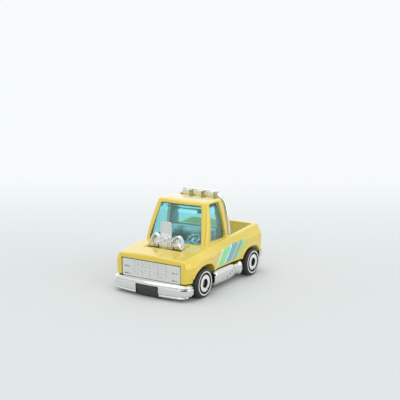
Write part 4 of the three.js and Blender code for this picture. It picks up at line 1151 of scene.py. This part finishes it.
# The near black tone, inked from 0.565 to 0.728 of the radius over the groove between disc and ring, is
# painted shade: darker than the wheel's own black plastic.
STAMP_WHITE, STAMP_GROOVE_SHADE = "#ECECE8", "#060607"
STAMP_BANDS = [  # from the hub outwards, as shares of the wheel's radius
    (0.0, STAMP_GROOVE_SHADE, 0),
    (0.312, STAMP_WHITE, 1),
    (0.565, STAMP_GROOVE_SHADE, 1),
    (0.728, STAMP_WHITE, 1),
    (0.812, STAMP_GROOVE_SHADE, 0),
]
STAMP_REACH = 0.3  # how deep under the wheel's face the stamp still prints
BITE_PLACE = 0.55  # share of the wheel's radius
BITE_RADIUS = 0.42


def wheel_abs():
    """Black ABS wheel with a white disc and a white ring hot-stamped on its face, and a near black band
    of painted shade over the groove between them.

    A small round bite out of the disc stays unprinted and shows how the wheel has rolled.
    """
    looks = {"IOR": 1.54, "Specular IOR Level": 0.3}
    material, tree, shader, place = new_material("wheel ABS, hot-stamped", looks)
    scuffs = {"tones": ("#2C2C2D", "#383839"), "gloss": (0.32, 0.46), "relief": (0.1, 0.02)}
    vary(tree, shader, place, grain=0.6, detail=3.0, **scuffs)
    stamped_at = add(tree, "ShaderNodeAttribute", attribute_name=PRINT_PLACE).outputs["Vector"]
    parts = add(tree, "ShaderNodeSeparateXYZ", {"Vector": stamped_at})
    x, y, z = [parts.outputs[axis] for axis in "XYZ"]
    face = add(tree, "ShaderNodeCombineXYZ", {"Y": y, "Z": z}).outputs[0]
    radius = add(tree, "ShaderNodeVectorMath", {0: face}, operation="LENGTH").outputs["Value"]
    outwards = add(tree, "ShaderNodeMapRange", {"Value": radius, "From Max": WHEEL_RADIUS * MM})
    stamp = add(tree, "ShaderNodeValToRGB", {"Fac": outwards.outputs["Result"]})
    fill_bands(stamp.color_ramp, STAMP_BANDS)
    out = add(tree, "ShaderNodeMath", {0: x}, operation="ABSOLUTE").outputs[0]
    to_bite = {0: face, 1: (0, BITE_PLACE * WHEEL_RADIUS * MM, 0)}
    bite = add(tree, "ShaderNodeVectorMath", to_bite, operation="DISTANCE").outputs["Value"]
    reached = [
        (out, (WHEEL_FACE - STAMP_REACH) * MM, "GREATER_THAN"),
        (bite, BITE_RADIUS * MM, "GREATER_THAN"),
    ]
    lay_over(tree, shader, where(tree, stamp.outputs["Alpha"], reached), stamp.outputs["Color"])
    return material


def drawn_steel():
    """Steel wire drawn through a die: bright, with fine lines along its length."""
    material, tree, shader, place = new_material("steel wire, drawn", {"Metallic": 1})
    stretch = (0.05, 1, 1)
    drawn = add(tree, "ShaderNodeVectorMath", {0: place, 1: stretch}, operation="MULTIPLY").outputs[0]
    vary(tree, shader, drawn, grain=0.2, detail=2.0, tones=("#A9ABAE", "#C3C5C8"), gloss=(0.25, 0.42))
    return material


# The truck

paint, clear = enamel(), tinted_polystyrene()
plating = plated_abs("plated ABS, vacuum metallised", 0.18)
satin = plated_abs("plated ABS, satin mould", 0.3)
black, wheel_black, steel = black_abs(), wheel_abs(), drawn_steel()

fitted(body_shell(), "shell", paint, "body_shell")
fitted(window_moulding(), "windows", clear, "window_insert")
tub = softened(copied("interior_tub"), grain=0.12, rounds=3, keep=0.3)
fitted(tub, "interior", satin, "interior_tub")
fitted(engine(), "engine_moulding", plating, "engine")
fitted(roll_bar(), "roll_hoop", plating, "roll_bar")
fitted(grille_panel(), "grille", plating, "grille_panel")
fitted(front_bumper(), "bumper_front", plating, "front_bumper")
fitted(rear_bumper(), "bumper_rear", plating, "rear_bumper")
fitted(side_pipe(1), "pipe_left", plating, "side_pipe_left")
fitted(side_pipe(-1), "pipe_right", plating, "side_pipe_right")
base = softened(copied("chassis_base"), grain=0.12, rounds=3, keep=0.25)
fitted(base, "base", black, "chassis_base")

WHEEL_TURNS = {"front_left": 0.9, "front_right": 2.2, "rear_left": 1.5, "rear_right": 3.4}  # radians
for end, axle_y in (("front", FRONT_AXLE), ("rear", REAR_AXLE)):
    steel_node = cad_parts[f"axle_{end}"]
    steel_node.data.materials.clear()
    steel_node.data.materials.append(steel)
    for name, side in (("left", 1), ("right", -1)):
        corner = f"{end}_{name}"
        made = wheel(side, WHEEL_TURNS[corner])
        made.location = Vector((0, axle_y, AXLE_Z)) * MM
        node, body = f"wheel_{corner}", f"{corner}_wheel"
        fitted(made, f"tyre_{corner}", wheel_black, node, body)

# Studio

VIEW_TARGET = Vector((6.11, -2.45, 31.35)) * MM
VIEW_TURN = math.radians(32.45)
VIEW_RISE = math.radians(10.68)
VIEW_DISTANCE = 303.24 * MM
VIEW_LENS = 75.24
VIEW_SENSOR = 36
FLOOR_REACH = 6.0  # metres
FLOOR_FADE = (-0.02, 0.27)  # metres behind the truck between which the card fades out
TENT_OPENING = (36, 22)  # degrees off the view where the opening starts and where it is all dark
BACKDROP = "#F7FBFC"


def view_axis():
    """Direction from the truck to the camera."""
    level = math.cos(VIEW_RISE)
    return Vector((math.sin(VIEW_TURN) * level, -math.cos(VIEW_TURN) * level, math.sin(VIEW_RISE)))


def studio_floor():
    """Pale matt card that fades into the bright backdrop."""
    reach = both(FLOOR_REACH)
    mesh = bpy.data.meshes.new("floor")
    mesh.from_pydata([(x, y, 0) for x, y in four_corners(reach, reach)], [], [(0, 1, 2, 3)])
    floor = placed("floor", mesh)
    looks = {"Base Color": colour("#DBDFDE"), "Roughness": 0.9}
    material, tree, shader, place = new_material("matt card", looks)
    away = {0: place, 1: (-math.sin(VIEW_TURN), math.cos(VIEW_TURN), 0)}
    back = add(tree, "ShaderNodeVectorMath", away, operation="DOT_PRODUCT").outputs["Value"]
    stretch = {"Value": back, "From Min": FLOOR_FADE[0], "From Max": FLOOR_FADE[1]}
    fade = add(tree, "ShaderNodeMapRange", stretch, interpolation_type="SMOOTHSTEP").outputs["Result"]
    glow = add(tree, "ShaderNodeEmission", {"Color": colour(BACKDROP)}).outputs[0]
    mixed = add(tree, "ShaderNodeMixShader", {"Fac": fade, 1: shader.outputs["BSDF"], 2: glow}).outputs[0]
    tree.links.new(mixed, tree.nodes["Material Output"].inputs["Surface"])
    mesh.materials.append(material)


def studio_light():
    """White tent, open towards the camera, with soft lamps behind, above and beside it."""
    world = bpy.data.worlds.new("white tent")
    bpy.context.scene.world = world
    world.use_nodes = True
    tree = world.node_tree
    tree.nodes.clear()
    rays = add(tree, "ShaderNodeLightPath")
    seen = rays.outputs["Is Camera Ray"]
    for kind in ("Is Glossy Ray", "Is Transmission Ray"):
        either = {0: seen, 1: rays.outputs[kind]}
        seen = add(tree, "ShaderNodeMath", either, operation="MAXIMUM").outputs[0]
    ambient = add(tree, "ShaderNodeBackground", {"Color": colour("#F6F8FA"), "Strength": 0.7}).outputs[0]
    look = add(tree, "ShaderNodeTexCoord").outputs["Generated"]
    towards = {0: look, 1: view_axis()}
    ahead = add(tree, "ShaderNodeVectorMath", towards, operation="DOT_PRODUCT").outputs["Value"]
    edge, full = [math.cos(math.radians(angle)) for angle in TENT_OPENING]
    widening = {"Value": ahead, "From Min": edge, "From Max": full}
    opening = add(tree, "ShaderNodeMapRange", widening).outputs["Result"]
    mirrored_part = {0: opening, 1: rays.outputs["Is Glossy Ray"]}
    dark = add(tree, "ShaderNodeMath", mirrored_part, operation="MULTIPLY").outputs[0]
    cloth = {0: dark, MIX_FROM: colour(BACKDROP), MIX_TO: colour("#3A3B3C")}
    tent = add(tree, "ShaderNodeMix", cloth, data_type="RGBA").outputs[MIX_OUT]
    backdrop = add(tree, "ShaderNodeBackground", {"Color": tent, "Strength": 1.0}).outputs[0]
    mixed = add(tree, "ShaderNodeMixShader", {"Fac": seen, 1: ambient, 2: backdrop}).outputs[0]
    add(tree, "ShaderNodeOutputWorld", {"Surface": mixed})
    lamps = [  # name, place and size in metres, watts
        ("back_key", (-0.5, 0.75, 0.5), 1.2, 1.15),
        ("overhead", (-0.1, 0.0, 0.8), 0.8, 1.9),
        ("front_fill", (0.1, -0.8, 0.45), 0.7, 1.4),
        ("side_fill", (0.8, 0.0, 0.4), 0.7, 1.7),
    ]
    for name, place, size, power in lamps:
        lamp = bpy.data.lights.new(name, "AREA")
        lamp.size = size
        lamp.energy = power
        holder = placed(name, lamp)
        holder.location = place
        holder.rotation_euler = (VIEW_TARGET - holder.location).to_track_quat("-Z", "Y").to_euler()


def studio_camera():
    """The photo's view, as fitted to it."""
    camera = bpy.data.cameras.new("view")
    camera.sensor_width = VIEW_SENSOR
    camera.lens = VIEW_LENS
    camera.clip_start = 0.01
    camera.clip_end = 100
    holder = placed("view", camera)
    away = view_axis()
    holder.location = VIEW_TARGET + away * VIEW_DISTANCE
    holder.rotation_euler = away.to_track_quat("Z", "Y").to_euler()
    bpy.context.scene.camera = holder


studio_floor()
studio_light()
studio_camera()
bpy.context.scene.view_settings.view_transform = "Standard"
